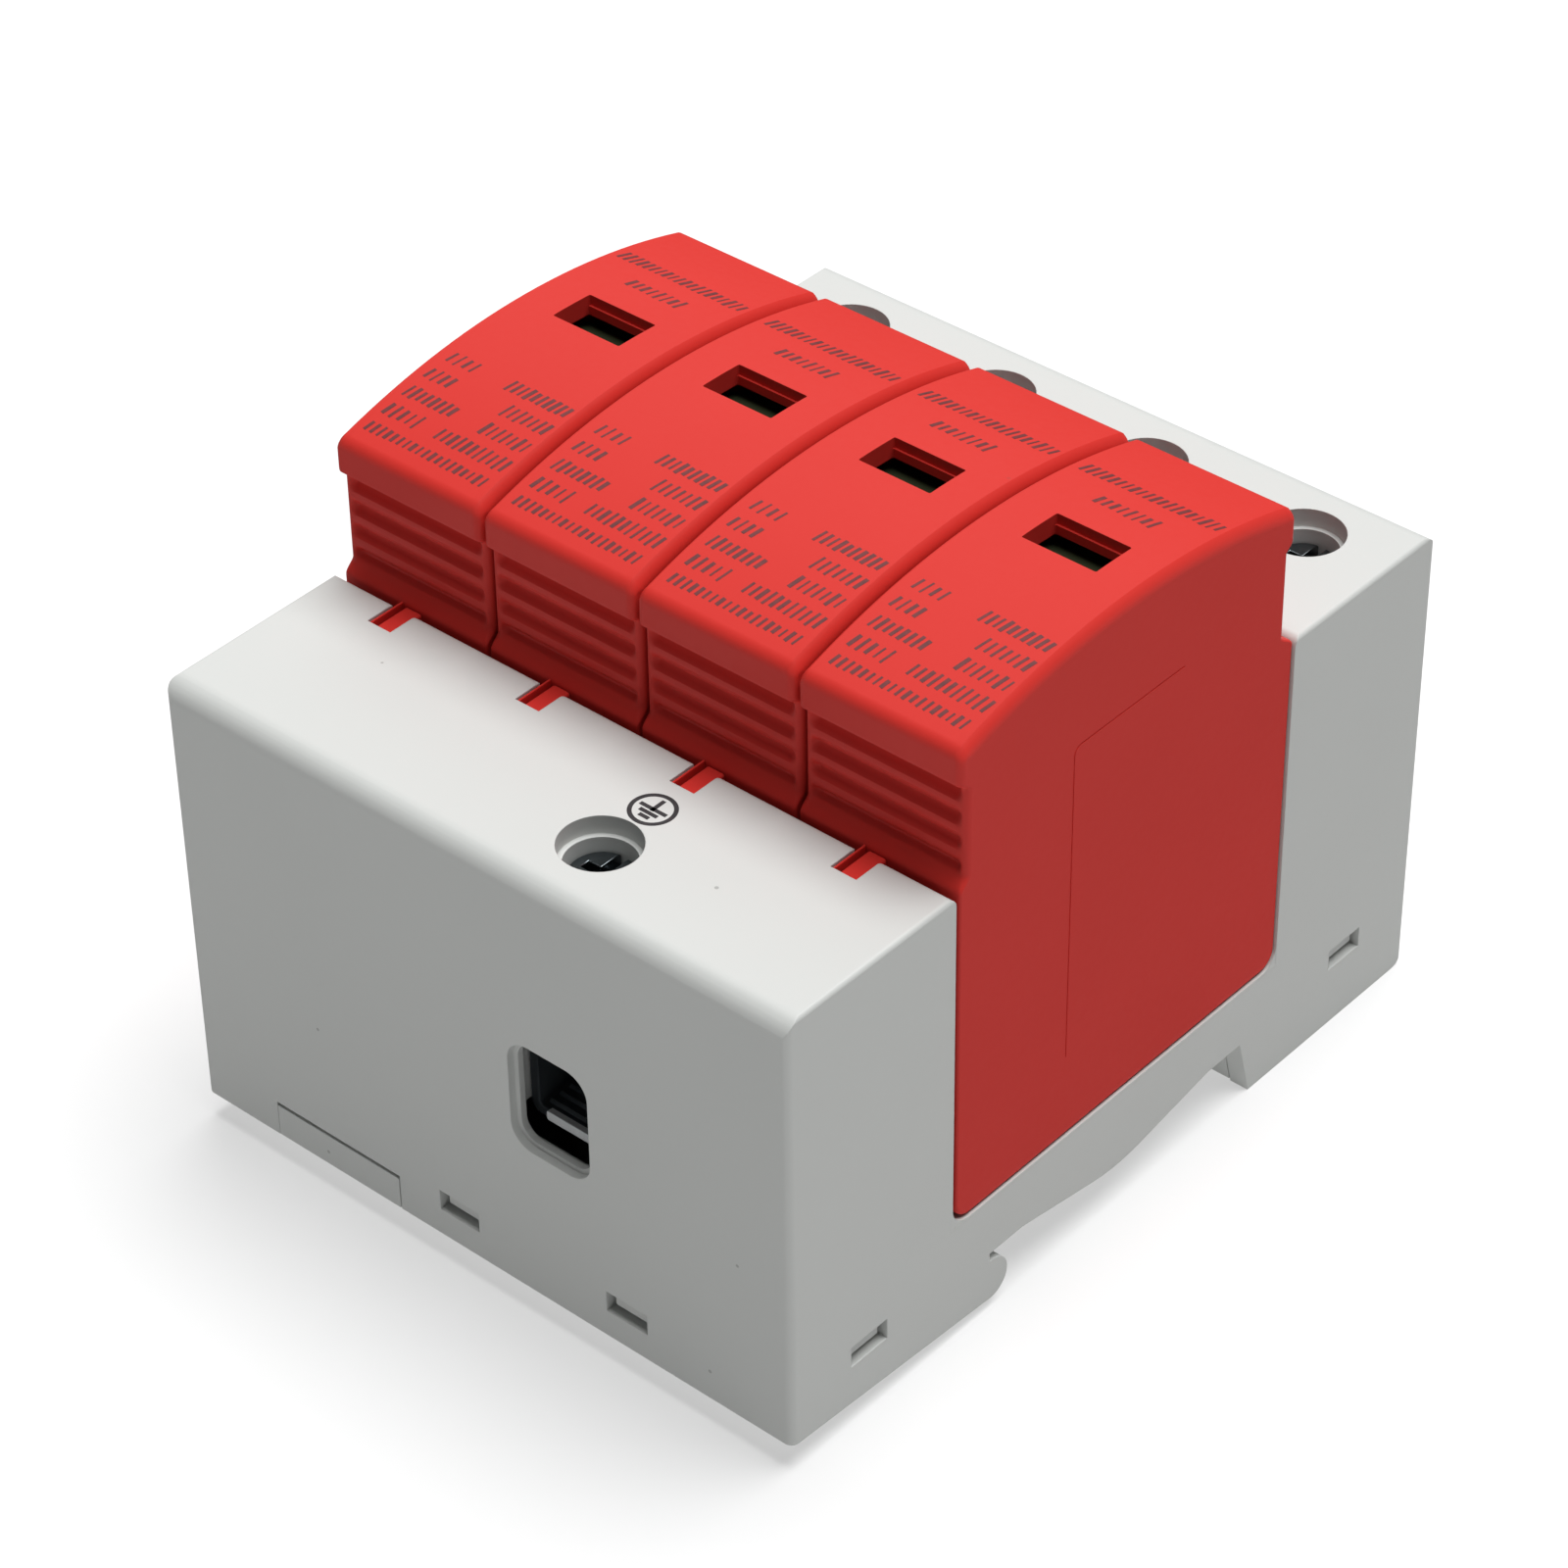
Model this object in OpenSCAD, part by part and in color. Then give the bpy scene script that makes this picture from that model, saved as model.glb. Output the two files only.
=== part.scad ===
// Four-pole pluggable surge arrester for a 35 mm mounting rail.
// X runs along the rail, Y across it with the earth terminal at -Y, and Z points away from the rail.

/* [Rail and poles] */
// Width of one pole along the rail
pole_w = 18; // [17.6:0.1:19]
// Width of the mounting rail across its flanges
rail_w = 35; // [34.5:0.1:35.4]
// Thickness of the rail's sheet
rail_t = 1; // [0.8:0.1:1.1]
// Height of the rail's front face above the rear foot
rail_z = 6.6; // [6.6:0.1:7.2]
// Radius of the fixed hook's nub
hook_r = 2.25; // [2:0.05:2.3]
// Depth of the belly that dips into the rail's channel
belly_drop = 2.1; // [1:0.1:2.4]

/* [Base housing] */
// Length of the base across the rail
base_len = 90; // [88:1:98]
// Height of the two terminal blocks
base_h = 50.5; // [50.5:0.5:54]
// Wall thickness of the base moulding
wall = 2; // [1.6:0.1:2.1]
// Height of the bay's floor above the foot
floor_z = 13.2; // [13:0.1:14.4]
// Thickness of the bay's floor
floor_t = 1.6; // [1.2:0.1:2]
// Height of the front face's lower edge
front_lift = 3.05; // [2:0.05:3.4]
// Rounding of the blocks' outer top edges
outer_r = 2.2; // [1:0.1:2.8]
// Rounding of the blocks' inner top edges
inner_r = 1; // [0.4:0.1:1.4]
// Rounding of the upright corners
corner_r = 0.8; // [0.4:0.1:1.4]
// Rounding of the end faces' top edges
end_r = 0.5; // [0.3:0.1:0.8]
// Rounding of the rear foot's lower edge
foot_r = 1.8; // [1:0.1:2]

/* [Bottom cover] */
// Thickness of the bottom cover
cover_t = 1.5; // [1.2:0.1:1.6]
// Gap between the cover and the housing walls
cover_gap = 0.15; // [0.1:0.05:0.2]
// Length of a snap window
snap_w = 4.8; // [4:0.1:6]
// Height of a snap window
snap_h = 2.3; // [2:0.1:2.6]
// Height of the snap windows in the front and rear faces
snap_z = 7.2; // [7.2:0.1:8]
// Height of the snap windows in the end faces
end_snap_z = 7.9; // [7.4:0.1:8.4]
// Distance of the end faces' snap windows from the middle
end_snap_y = 34.75; // [33:0.25:36]

/* [Signal port] */
// Width of the blank that closes the signal port
blank_w = 15.7; // [14:0.1:17]
// Height of the blank's top edge
blank_z = 7; // [6.5:0.1:7.4]
// Place of the blank's middle along the rail
blank_x = -18.55; // [-20:0.05:-17]

/* [Terminals] */
// Distance of the clamp screws from the block's outer face
screw_inset = 7.8; // [7.5:0.1:8.2]
// Place of the earth terminal along the rail
earth_x = 8.7; // [7:0.1:10]
// Radius of the screwdriver hole at the surface
access_r = 3.8; // [3.6:0.1:4.2]
// Radius of the screw guide below it
guide_r = 3.3; // [3.2:0.05:3.5]
// Radius of the clamp screw's head
head_r = 3.1; // [2.8:0.05:3.1]
// Radius of the clamp screw's thread
thread_r = 2.5; // [2:0.05:2.6]
// Width of the cable window's rim
rim_w = 9.3; // [8.6:0.1:10]
// Height of the cable window's rim
rim_h = 12; // [11:0.1:12.6]
// Height of the cable window's middle
window_z = 25.8; // [25.4:0.1:26.4]
// Width of the ledge inside the rim
rim_ledge = 0.5; // [0.3:0.1:0.8]
// Depth of the rim's recess
rim_depth = 0.8; // [0.5:0.1:1]
// Travel of the clamp cage
cage_travel = 7; // [5:0.5:7]
// Thickness of the clamp cage's sheet
cage_t = 1; // [0.8:0.1:1.2]

/* [Plug] */
// Gap between neighbouring plugs
plug_gap = 0.4; // [0.3:0.05:0.6]
// Gap between a plug and the bay's walls
bay_gap = 0.2; // [0.15:0.05:0.3]
// Height of a plug's crown above the foot
plug_top = 68.2; // [68:0.1:71]
// Radius of the plug's curved top
crown_r = 76; // [70:0.5:90]
// Wall thickness of the plug casing
plug_wall = 1.3; // [1:0.1:1.4]
// Thickness of the casing's top
crown_t = 2; // [1.6:0.1:2.2]
// Inset of the grip from the casing's end faces
grip_inset = 1.3; // [1:0.05:1.6]
// Inset of the lip above the grip from the casing's end faces
lip_inset = 0.45; // [0.3:0.05:0.8]
// Height of the crown above the lip's lower edge
lip_h = 6.8; // [6.4:0.1:7.2]
// Number of grip grooves on each end
grooves = 4; // [2:1:4]
// Spacing of the grip grooves
groove_pitch = 2.55; // [2.2:0.05:2.6]
// Depth of the grip grooves
groove_depth = 0.5; // [0.2:0.05:0.6]
// Rounding of the casing's top edges
crown_edge_r = 1.6; // [1:0.1:2]
// Rounding of the casing's upright edges
plug_corner_r = 0.7; // [0.5:0.1:1.3]
// Width of the status window
status_w = 8; // [6:0.1:8.2]
// Side shift of the status window's middle from the plug's middle
status_x = 0.3; // [0:0.05:0.5]
// Length of the status window
status_l = 4.9; // [4:0.1:5.2]
// Distance of the status window's middle from the plug's middle
status_y = 2.75; // [2:0.05:3.2]
// Width of the coding tab
tab_w = 2; // [1.6:0.1:2.4]
// Width of the coding notch in the base
notch_w = 2.8; // [2.6:0.1:3.4]
// Reach of the coding notch into the front block
notch_l = 3.6; // [3.2:0.1:4]

/* [Plug insides] */
// Side length of the varistor block
varistor_h = 34; // [30:0.5:36]
// Length of the varistor block
varistor_l = 33; // [30:0.5:36]
// Thickness of the varistor block
varistor_t = 8.4; // [7:0.1:8.6]
// Distance of the blades from the varistor's ends
blade_clear = 2.2; // [2:0.05:2.4]
// Width of a blade
blade_w = 6; // [5:0.1:6.4]
// Thickness of a blade
blade_t = 1; // [0.8:0.1:1.1]
// Travel of the status slide
status_travel = 6.5; // [6:0.1:6.6]

/* [Rail latch] */
// Distance of the latches from the base's middle
latch_x = 18; // [17.5:0.5:18.5]
// Width of a latch
latch_w = 11.4; // [10:0.2:11.6]
// Travel of a latch
latch_travel = 4; // [3:0.5:4]
// Sliding gap around a latch
latch_gap = 0.3; // [0.25:0.05:0.4]

/* [Hidden] */
$fn = 48;
eps = 0.01;
over = 2;
poles = 4;
latches = 2;

// Plug bay, sized from the varistor outwards
strip_t = 0.8;
fork_slack = 0.2;
fork_gap = blade_t + fork_slack;
fork_out = fork_gap / 2 + strip_t;
tower_wall = 1;
tower_slack = 0.5;
tower_gap = 0.4;
tower_l = 2 * (fork_out + tower_wall + tower_slack);
blade_y = varistor_l / 2 + blade_clear;
cave_y = blade_y + tower_l / 2 + tower_gap;
plug_y = cave_y + plug_wall;
bay_y = plug_y + bay_gap;
bay_len = 2 * bay_y;

// Base faces and inner faces
base_w = poles * pole_w;
end_x = base_w / 2;
face_y = base_len / 2;
chamber_y = bay_y + wall;
floor_under = floor_z - floor_t;
function pole_x(n) = (n - (poles + 1) / 2) * pole_w;
function latch_at(n) = (2 * n - 3) * latch_x;

// Rail seat
hook_y = -rail_w / 2 - 0.5;
notch_y = hook_y - 0.25;
hook_top = rail_z - rail_t;
hook_low = hook_top - 2 * hook_r;
step_top_y = rail_w / 2 + 1;
step_lean = 1.7;
step_low_y = step_top_y + step_lean;
belly_r = 20;
belly_slope = 10;
front_slope = (front_lift - hook_low) / (face_y + hook_y);
function underside(y) = hook_low + (hook_y - y) * front_slope;

// Bottom cover
cover_x = end_x - wall - cover_gap;
cover_y = face_y - wall - cover_gap;
roof_top = rail_z + cover_t;
foot_top = cover_gap + cover_t;
hook_inner_y = notch_y - cover_t - 0.4;
tongue_w = snap_w - 0.6;
tongue_t = 1.4;
tongue_over = 1.4;
nose_reach = 1.1;
front_snap_left = -3.2;
front_snap_right = 17;
rear_snap_x = 4.5;
front_snaps = [front_snap_left, front_snap_right];
rear_snaps = [-rear_snap_x, rear_snap_x];

// Latch tunnel
tunnel_w = latch_w + 2 * latch_gap;
tunnel_wall = 1.3;
tunnel_top = hook_top + 0.1;
tunnel_roof = tunnel_top + cover_t;
lip_w = 1.6;
lip_t = 1.05;
latch_low = 0.4;
latch_deck = cover_gap + lip_t + latch_gap;
latch_top = latch_deck + 2.3;
latch_web_w = tunnel_w - 2 * lip_w - 2 * latch_gap;
nose_y = rail_w / 2 - 1.6;
nose_top = hook_top - 0.25;
post_y = face_y - 8;
post_l = 2;
post_w = 3.2;
slot_w = post_w + 4 * latch_gap;
spring_l = 9;
slot_y = post_y - spring_l - latch_travel;

// Terminals
terminal_y = face_y - screw_inset;
bar_t = 2;
bar_w = 6.8;
bar_rise = 7;
bar_top = window_z + bar_rise;
bar_low = bar_top - bar_t;
cage_w = 10;
cage_l = 9.6;
cage_top_t = 3;
cage_gap = 0.3;
cage_rise = 2.1;
cage_inner_top = bar_top + cage_gap;
cage_top = cage_inner_top + cage_top_t;
cage_floor = window_z - rim_h / 2 + rim_ledge + cage_rise;
head_low = cage_top + cage_travel + cage_gap;
head_t = 4;
head_chamfer = 0.3;
head_top = head_low + head_t;
guide_wall = 1.2;
guide_low = head_low + 0.2;
access_depth = 1.9;
partition_t = 1.6;

// Contacts between the base and the plugs
riser_t = 1.2;
riser_gap = 0.7;
riser_y = chamber_y + riser_gap;
strip_low = roof_top + fork_slack;
tower_side = 1.6;
tower_h = 7.4;
tower_w = blade_w + 2 * tower_side;
tower_top = floor_z + tower_h;
fork_top = tower_top - tower_wall - fork_slack;
blade_rise = 1.2;
blade_low = strip_low + strip_t + blade_rise;

// Plug casing
plug_w = pole_w - plug_gap;
plug_x = plug_w / 2;
plug_low = floor_z + bay_gap;
grip_y = plug_y - grip_inset;
lip_y = plug_y - lip_inset;
crown_z = plug_top - crown_r;
lip_z = plug_top - lip_h;
shoulder_rise = 1;
shoulder_h = 1.5;
shoulder_z = base_h + shoulder_rise;
groove_r = 1.2;
groove_end = 0.9;
groove_drop = 1.5;
groove_z = lip_z - groove_drop;
ceiling_r = crown_r - crown_t;
cave_x = plug_x - plug_wall;
neck_y = grip_y - plug_wall;
tab_h = 2.8;
tab_drop = 0.5;
tab_r = 0.3;
tab_gap = 0.1;
tab_top = base_h - tab_drop;
tab_low = tab_top - tab_h;
tab_left = -1;
wing_w = 0.45;
wing_drop = 0.9;
notch_shift = -0.2;
notch_drop = 0.3;
notch_low = tab_low - notch_drop;
panel_l = 15.8;
panel_lift = 8.6;
panel_fall = 4.7;
panel_low = plug_low + panel_lift;
panel_top = lip_z - panel_fall;
panel_depth = 0.1;
panel_r = 1;

// Plug insides
carrier_gap = 0.2;
plate_t = 2;
web_x = 3.2;
web_t = 1.4;
web_gap = 0.5;
web_l = blade_y - tower_l / 2 - web_gap;
bridge_rise = 1.4;
bridge_low = tower_top + bridge_rise;
bridge_t = 2;
varistor_rise = 0.6;
varistor_r = 1.5;
varistor_low = tower_top + varistor_rise;
earth_tab_up = 12;
earth_tab_t = 1;
earth_tab_z = varistor_low + earth_tab_up;
solder_up = 20;
solder_z = varistor_low + solder_up;
solder_h = 4;
shelf_rise = 0.1;
shelf_top = lip_z + shelf_rise;
shelf_t = 1.5;
shelf_left = -5.2;
slide_gap = 0.2;
slide_low = shelf_top + slide_gap;
slide_t = 1.2;
flag_lap = 1.1;
flag_past = 0.5;
slide_tail = 2.7;
slide_front = status_y - status_l / 2 - flag_lap;
flag_back = status_y - status_l / 2 - flag_past + status_travel;
slide_back = flag_back + slide_tail;
flag_w = status_w + 1.2;
flag_drop = 0.6;
flag_top = plug_top - crown_t - flag_drop;
arm_t = 0.8;
arm_gap = 0.3;
arm_x = cave_x - arm_gap;
stop_inset = 5.4;
stop_y = cave_y - stop_inset;
stop_t = 1.4;
spring_wire = 0.3;
spring_gap = 0.1;

// A box between two opposite corners
module block(low, high) {
  translate(low) cube(high - low);
}

// An outline in Y and Z, drawn out along X
module along_x(x0, x1) {
  translate([x0, 0, 0]) rotate([90, 0, 90]) linear_extrude(x1 - x0) children();
}

// An outline in X and Z, drawn out along Y
module along_y(y0, y1) {
  translate([0, y1, 0]) rotate([90, 0, 0]) linear_extrude(y1 - y0) children();
}

// The waste outside a rounded corner, where inward points into the solid
module corner_waste(corner, r, inward) {
  centre = corner + r * inward;
  outside = corner - over * inward;
  difference() {
    translate([min(centre.x, outside.x), min(centre.y, outside.y)]) square(r + over);
    translate(centre) circle(r);
  }
}

// A rectangle with round corners
module round_rect(low, high, r) {
  difference() {
    translate(low) square(high - low);
    corner_waste(low, r, [1, 1]);
    corner_waste(high, r, [-1, -1]);
    corner_waste([low.x, high.y], r, [1, -1]);
    corner_waste([high.x, low.y], r, [-1, 1]);
  }
}

// A round-wire coil along +Y from y0 to y1 about the given axis
module coil(x, z, y0, y1, r, wire, turns) {
  steps = 10;
  sides = 6;
  rings = turns * steps;
  rise = (y1 - y0 - 2 * wire) / rings;
  points = [for (i = [0 : rings], k = [0 : sides - 1])
    let (a = 360 * i / steps, b = 360 * k / sides, d = r + wire * cos(b))
    [x + d * cos(a), y0 + wire + i * rise + wire * sin(b), z + d * sin(a)]];
  skin = [for (i = [0 : rings - 1], k = [0 : sides - 1])
    let (p = i * sides, q = p + sides, j = (k + 1) % sides)
    each [[p + k, q + j, p + j], [p + k, q + k, q + j]]];
  start = [for (k = [0 : sides - 1]) k];
  finish = [for (k = [1 : sides]) (rings + 1) * sides - k];
  polyhedron(points, concat(skin, [start, finish]));
}

// The belly that dips into the rail's channel
module belly() {
  flank_y = belly_r * sin(belly_slope);
  low = rail_z - belly_drop;
  flank_z = low + belly_r * (1 - cos(belly_slope));
  root_y = flank_y + (rail_z - flank_z) / tan(belly_slope);
  polygon([[-root_y, rail_z], [-flank_y, flank_z], [flank_y, flank_z], [root_y, rail_z],
           [root_y, rail_z + over], [-root_y, rail_z + over]]);
  intersection() {
    translate([0, low + belly_r]) circle(belly_r, $fn = 96);
    translate([-flank_y, low - over]) square([2 * flank_y, over + flank_z - low + eps]);
  }
}

// The open space below the base: front slope, hook notch and rail seat
module under_space() {
  polygon([[-face_y - over, -over], [-face_y - over, underside(-face_y - over)],
           [hook_y, hook_low], [hook_y, -over]]);
  translate([notch_y, hook_top]) square([hook_y - notch_y + eps, rail_t]);
  difference() {
    polygon([[hook_y, -over], [hook_y, rail_z], [step_top_y, rail_z], [step_low_y, 0], [step_low_y, -over]]);
    translate([hook_y, hook_top - hook_r]) circle(hook_r);
    belly();
  }
}

// The base seen from its end
module base_outline() {
  difference() {
    translate([-face_y, 0]) square([base_len, base_h]);
    translate([-bay_y, floor_z]) square([bay_len, base_h]);
    under_space();
    corner_waste([-face_y, base_h], outer_r, [1, -1]);
    corner_waste([face_y, base_h], outer_r, [-1, -1]);
    corner_waste([-bay_y, base_h], inner_r, [-1, -1]);
    corner_waste([bay_y, base_h], inner_r, [1, -1]);
    corner_waste([face_y, 0], foot_r, [-1, 1]);
  }
}

// The room inside the base, open at the bottom
module chamber_outline() {
  for (side = [-1, 1]) {
    low = min(side * chamber_y, side * (face_y - wall));
    translate([low, -over]) square([face_y - wall - chamber_y, base_h - wall + over]);
  }
  translate([-chamber_y - eps, -over]) square([2 * (chamber_y + eps), floor_under + over]);
}

// A round guide under each screw hole
module screw_guide(x, y) {
  translate([x, y, guide_low]) cylinder(h = base_h - wall - guide_low + eps, r = guide_r + guide_wall);
}

// The hole through the top and the guide, with a ledge
module screw_access(x, y) {
  translate([x, y, guide_low - over]) cylinder(h = base_h, r = guide_r);
  translate([x, y, base_h - access_depth]) cylinder(h = access_depth + over, r = access_r);
}

// A cable window with a recessed rim; side is the face it is in
module cable_window(x, side) {
  skin = 1.5;
  rim_r = 2.4;
  half = [rim_w / 2, rim_h / 2];
  hole = half - [rim_ledge, rim_ledge];
  centre = [x, window_z];
  face = side * face_y;
  relief = face - side * skin;
  inside = face - side * (wall + over);
  outside = face + side * over;
  ledge = face - side * rim_depth;
  along_y(min(ledge, outside), max(ledge, outside)) round_rect(centre - half, centre + half, rim_r);
  along_y(min(inside, outside), max(inside, outside))
    round_rect(centre - hole, centre + hole, rim_r - rim_ledge);
  block([x - half.x, min(relief, inside), window_z - half.y],
        [x + half.x, max(relief, inside), window_z + half.y]);
}

// A snap window through the front or rear wall
module snap_window(x, side) {
  translate([x, side * (face_y - wall / 2), snap_z]) cube([snap_w, wall + over, snap_h], center = true);
}

// A hollow tower that holds a contact fork
module contact_tower(x, y) {
  half = [tower_w / 2, tower_l / 2];
  block([x - half.x, y - half.y, floor_under], [x + half.x, y + half.y, tower_top]);
}

// The fork's room and the blade's slot in a tower
module contact_room(x, y) {
  slot_side = 0.4;
  slot_face = 0.3;
  room = [tower_w - 2 * tower_wall, tower_l - 2 * tower_wall];
  translate([x - room.x / 2, y - room.y / 2, floor_under - over])
    cube([room.x, room.y, tower_top - tower_wall - floor_under + over]);
  slot = [blade_w / 2 + slot_side, blade_t / 2 + slot_face];
  block([x - slot.x, y - slot.y, floor_under], [x + slot.x, y + slot.y, tower_top + over]);
}

// The coding notch in the front block's inner edge, with rounded lips
module coding_notch(x) {
  lip_r = 0.8;
  middle = x + notch_shift;
  translate([0, 0, notch_low]) linear_extrude(base_h) {
    translate([middle - notch_w / 2, -bay_y - notch_l]) square([notch_w, notch_l + over]);
    for (side = [-1, 1])
      corner_waste([middle + side * notch_w / 2, -bay_y], lip_r, [side, -1]);
  }
}

// The walls around a coding notch inside the block
module notch_pocket(x) {
  pocket_wall = 1;
  reach = notch_w / 2 + pocket_wall;
  block([x - reach, -bay_y - notch_l - pocket_wall, notch_low - pocket_wall],
        [x + reach, -chamber_y + eps, base_h - wall + eps]);
}

module base_housing() {
  cage_guide_t = 1.4;
  latch_way = latch_top + latch_gap;
  color("gainsboro") difference() {
    union() {
      difference() {
        intersection() {
          along_x(-end_x, end_x) base_outline();
          translate([0, 0, -over]) linear_extrude(base_h + 2 * over)
            round_rect([-end_x, -face_y], [end_x, face_y], corner_r);
          along_y(-face_y - over, face_y + over) round_rect([-end_x, -2 * over], [end_x, base_h], end_r);
        }
        along_x(-end_x + wall, end_x - wall) chamber_outline();
      }
      for (n = [1 : poles]) {
        screw_guide(pole_x(n), terminal_y);
        contact_tower(pole_x(n), blade_y);
        contact_tower(pole_x(n), -blade_y);
        notch_pocket(pole_x(n) + notch_shift);
      }
      for (n = [1 : poles - 1])
        translate([pole_x(n) + pole_w / 2 - partition_t / 2, chamber_y - eps, tunnel_roof + 1])
          cube([partition_t, face_y - wall - chamber_y + 2 * eps, base_h - wall - tunnel_roof - 1 + eps]);
      for (side = [-1, 1])
        translate([earth_x + side * (cage_w / 2 + 1) - cage_guide_t / 2, -face_y + wall - eps, cage_floor])
          cube([cage_guide_t, face_y - wall - chamber_y + 2 * eps - 4, base_h - wall - cage_floor + eps]);
      screw_guide(earth_x, -terminal_y);
    }
    for (n = [1 : poles]) {
      screw_access(pole_x(n), terminal_y);
      cable_window(pole_x(n), 1);
      contact_room(pole_x(n), blade_y);
      contact_room(pole_x(n), -blade_y);
      coding_notch(pole_x(n));
    }
    screw_access(earth_x, -terminal_y);
    cable_window(earth_x, -1);
    for (x = front_snaps) snap_window(x, -1);
    for (x = rear_snaps) snap_window(x, 1);
    for (sx = [-1, 1], sy = [-1, 1])
      translate([sx * (end_x - wall / 2), sy * end_snap_y, end_snap_z])
        cube([wall + over, snap_w, snap_h], center = true);
    block([blank_x - blank_w / 2, -face_y - over, -over],
          [blank_x + blank_w / 2, -face_y + wall + eps, blank_z]);
    for (n = [1 : latches])
      block([latch_at(n) - tunnel_w / 2, face_y - wall - over, -over],
            [latch_at(n) + tunnel_w / 2, face_y + over, latch_way]);
  }
}

// The cover seen from its end: a wall of even thickness under the base
module cover_outline() {
  intersection() {
    translate([0, cover_gap]) base_outline();
    polygon([[-cover_y, -over], [-cover_y, underside(-cover_y) + foot_top],
             [hook_inner_y, underside(hook_inner_y) + foot_top], [hook_inner_y, roof_top],
             [step_top_y + cover_t, roof_top], [step_low_y + cover_t + 0.3, foot_top],
             [cover_y, foot_top], [cover_y, -over]]);
  }
}

// A snap tongue on the edge of the cover, standing at the origin with its nose towards -Y
module snap_tongue(foot_z, window_mid) {
  top = window_mid + snap_h / 2 + tongue_over;
  nose_low = window_mid - snap_h / 2 + 0.2;
  nose_high = window_mid + snap_h / 2 - 0.3;
  along_x(-tongue_w / 2, tongue_w / 2)
    polygon([[0, foot_z], [0, nose_low], [-nose_reach, nose_low], [-nose_reach, nose_low + 0.7],
             [0, nose_high], [0, top], [tongue_t, top], [tongue_t, foot_z]]);
}

module bottom_cover() {
  guide_rib = 0.7;
  blank_room = 1.4;
  color("silver") difference() {
    union() {
      difference() {
        union() {
          along_x(-cover_x, cover_x) cover_outline();
          for (n = [1 : latches])
            block([latch_at(n) - tunnel_w / 2 - tunnel_wall, step_low_y, cover_gap],
                  [latch_at(n) + tunnel_w / 2 + tunnel_wall, cover_y, tunnel_roof]);
        }
        for (n = [1 : latches])
          block([latch_at(n) - tunnel_w / 2, step_top_y - over, -over],
                [latch_at(n) + tunnel_w / 2, face_y, tunnel_top]);
      }
      for (n = [1 : latches]) {
        for (side = [-1, 1]) {
          edge = latch_at(n) + side * (tunnel_w / 2 + eps);
          lip = edge - side * (lip_w + eps);
          rib = edge - side * (guide_rib + eps);
          block([min(edge, lip), step_low_y + 2, cover_gap], [max(edge, lip), cover_y, cover_gap + lip_t]);
          block([min(edge, rib), step_low_y + 2, latch_top + latch_gap],
                [max(edge, rib), cover_y, tunnel_top + eps]);
        }
        block([latch_at(n) - post_w / 2, post_y, latch_low],
              [latch_at(n) + post_w / 2, post_y + post_l, tunnel_top + eps]);
      }
      for (x = front_snaps)
        translate([x, -cover_y, 0]) snap_tongue(underside(-cover_y) + 1, snap_z);
      for (x = rear_snaps)
        translate([x, cover_y, 0]) rotate([0, 0, 180]) snap_tongue(1, snap_z);
      for (side = [-1, 1]) {
        translate([side * cover_x, -end_snap_y, 0]) rotate([0, 0, side * 90])
          snap_tongue(underside(-end_snap_y) + 1, end_snap_z);
        translate([side * cover_x, end_snap_y, 0]) rotate([0, 0, side * 90]) snap_tongue(1, end_snap_z);
      }
    }
    block([blank_x - blank_w / 2 - blank_room, -face_y, -over],
          [blank_x + blank_w / 2 + blank_room, -cover_y + blank_room, base_h]);
  }
}

module signal_port_blank() {
  seam = 0.15;
  flange = 1.2;
  flange_t = 1.1;
  half = blank_w / 2 - seam;
  color("gainsboro") intersection() {
    along_x(-end_x, end_x) difference() {
      translate([-face_y, 0]) square([base_len, base_h]);
      under_space();
    }
    union() {
      block([blank_x - half, -face_y, 0], [blank_x + half, -face_y + wall + seam + eps, blank_z - seam]);
      block([blank_x - half - flange, -face_y + wall + seam, 0],
            [blank_x + half + flange, -face_y + wall + seam + flange_t, blank_z + flange]);
    }
  }
}

// The sheet-metal fork that grips a blade, with its foot running out to the riser
module contact_fork(x, side) {
  for (leaf = [-1, 1]) {
    inner = side * blade_y + leaf * fork_gap / 2;
    outer = side * blade_y + leaf * fork_out;
    block([x - blade_w / 2, min(inner, outer), strip_low], [x + blade_w / 2, max(inner, outer), fork_top]);
  }
  near = side * (blade_y - fork_out);
  far = side * (riser_y + riser_t);
  block([x - blade_w / 2, min(near, far), strip_low], [x + blade_w / 2, max(near, far), strip_low + strip_t]);
}

// The strip that rises into the block and passes through the clamp cage
module terminal_strip(x, side) {
  near = side * riser_y;
  far = side * (riser_y + riser_t);
  tip_reach = 0.4;
  tip = side * (terminal_y + cage_l / 2 + tip_reach);
  block([x - bar_w / 2, min(near, far), strip_low], [x + bar_w / 2, max(near, far), bar_top]);
  block([x - bar_w / 2, min(near, tip), bar_low], [x + bar_w / 2, max(near, tip), bar_top]);
}

module line_contact(n) {
  color("peru") union() {
    contact_fork(pole_x(n), 1);
    terminal_strip(pole_x(n), 1);
  }
}

module earth_busbar() {
  bus_h = 6;
  reach = blade_w / 2;
  color("peru") union() {
    for (n = [1 : poles]) contact_fork(pole_x(n), -1);
    block([pole_x(1) - reach, -riser_y - riser_t, strip_low],
          [pole_x(poles) + reach, -riser_y, strip_low + bus_h]);
    terminal_strip(earth_x, -1);
  }
}

module clamp_cage(x, y) {
  thread_gap = 0.1;
  color("lightsteelblue") translate([x, y, 0]) difference() {
    block([-cage_w / 2, -cage_l / 2, cage_floor - cage_t], [cage_w / 2, cage_l / 2, cage_top]);
    block([-cage_w / 2 + cage_t, -cage_l, cage_floor], [cage_w / 2 - cage_t, cage_l, cage_inner_top]);
    translate([0, 0, cage_inner_top - 1]) cylinder(h = cage_top_t + 2, r = thread_r + thread_gap);
  }
}

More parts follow.
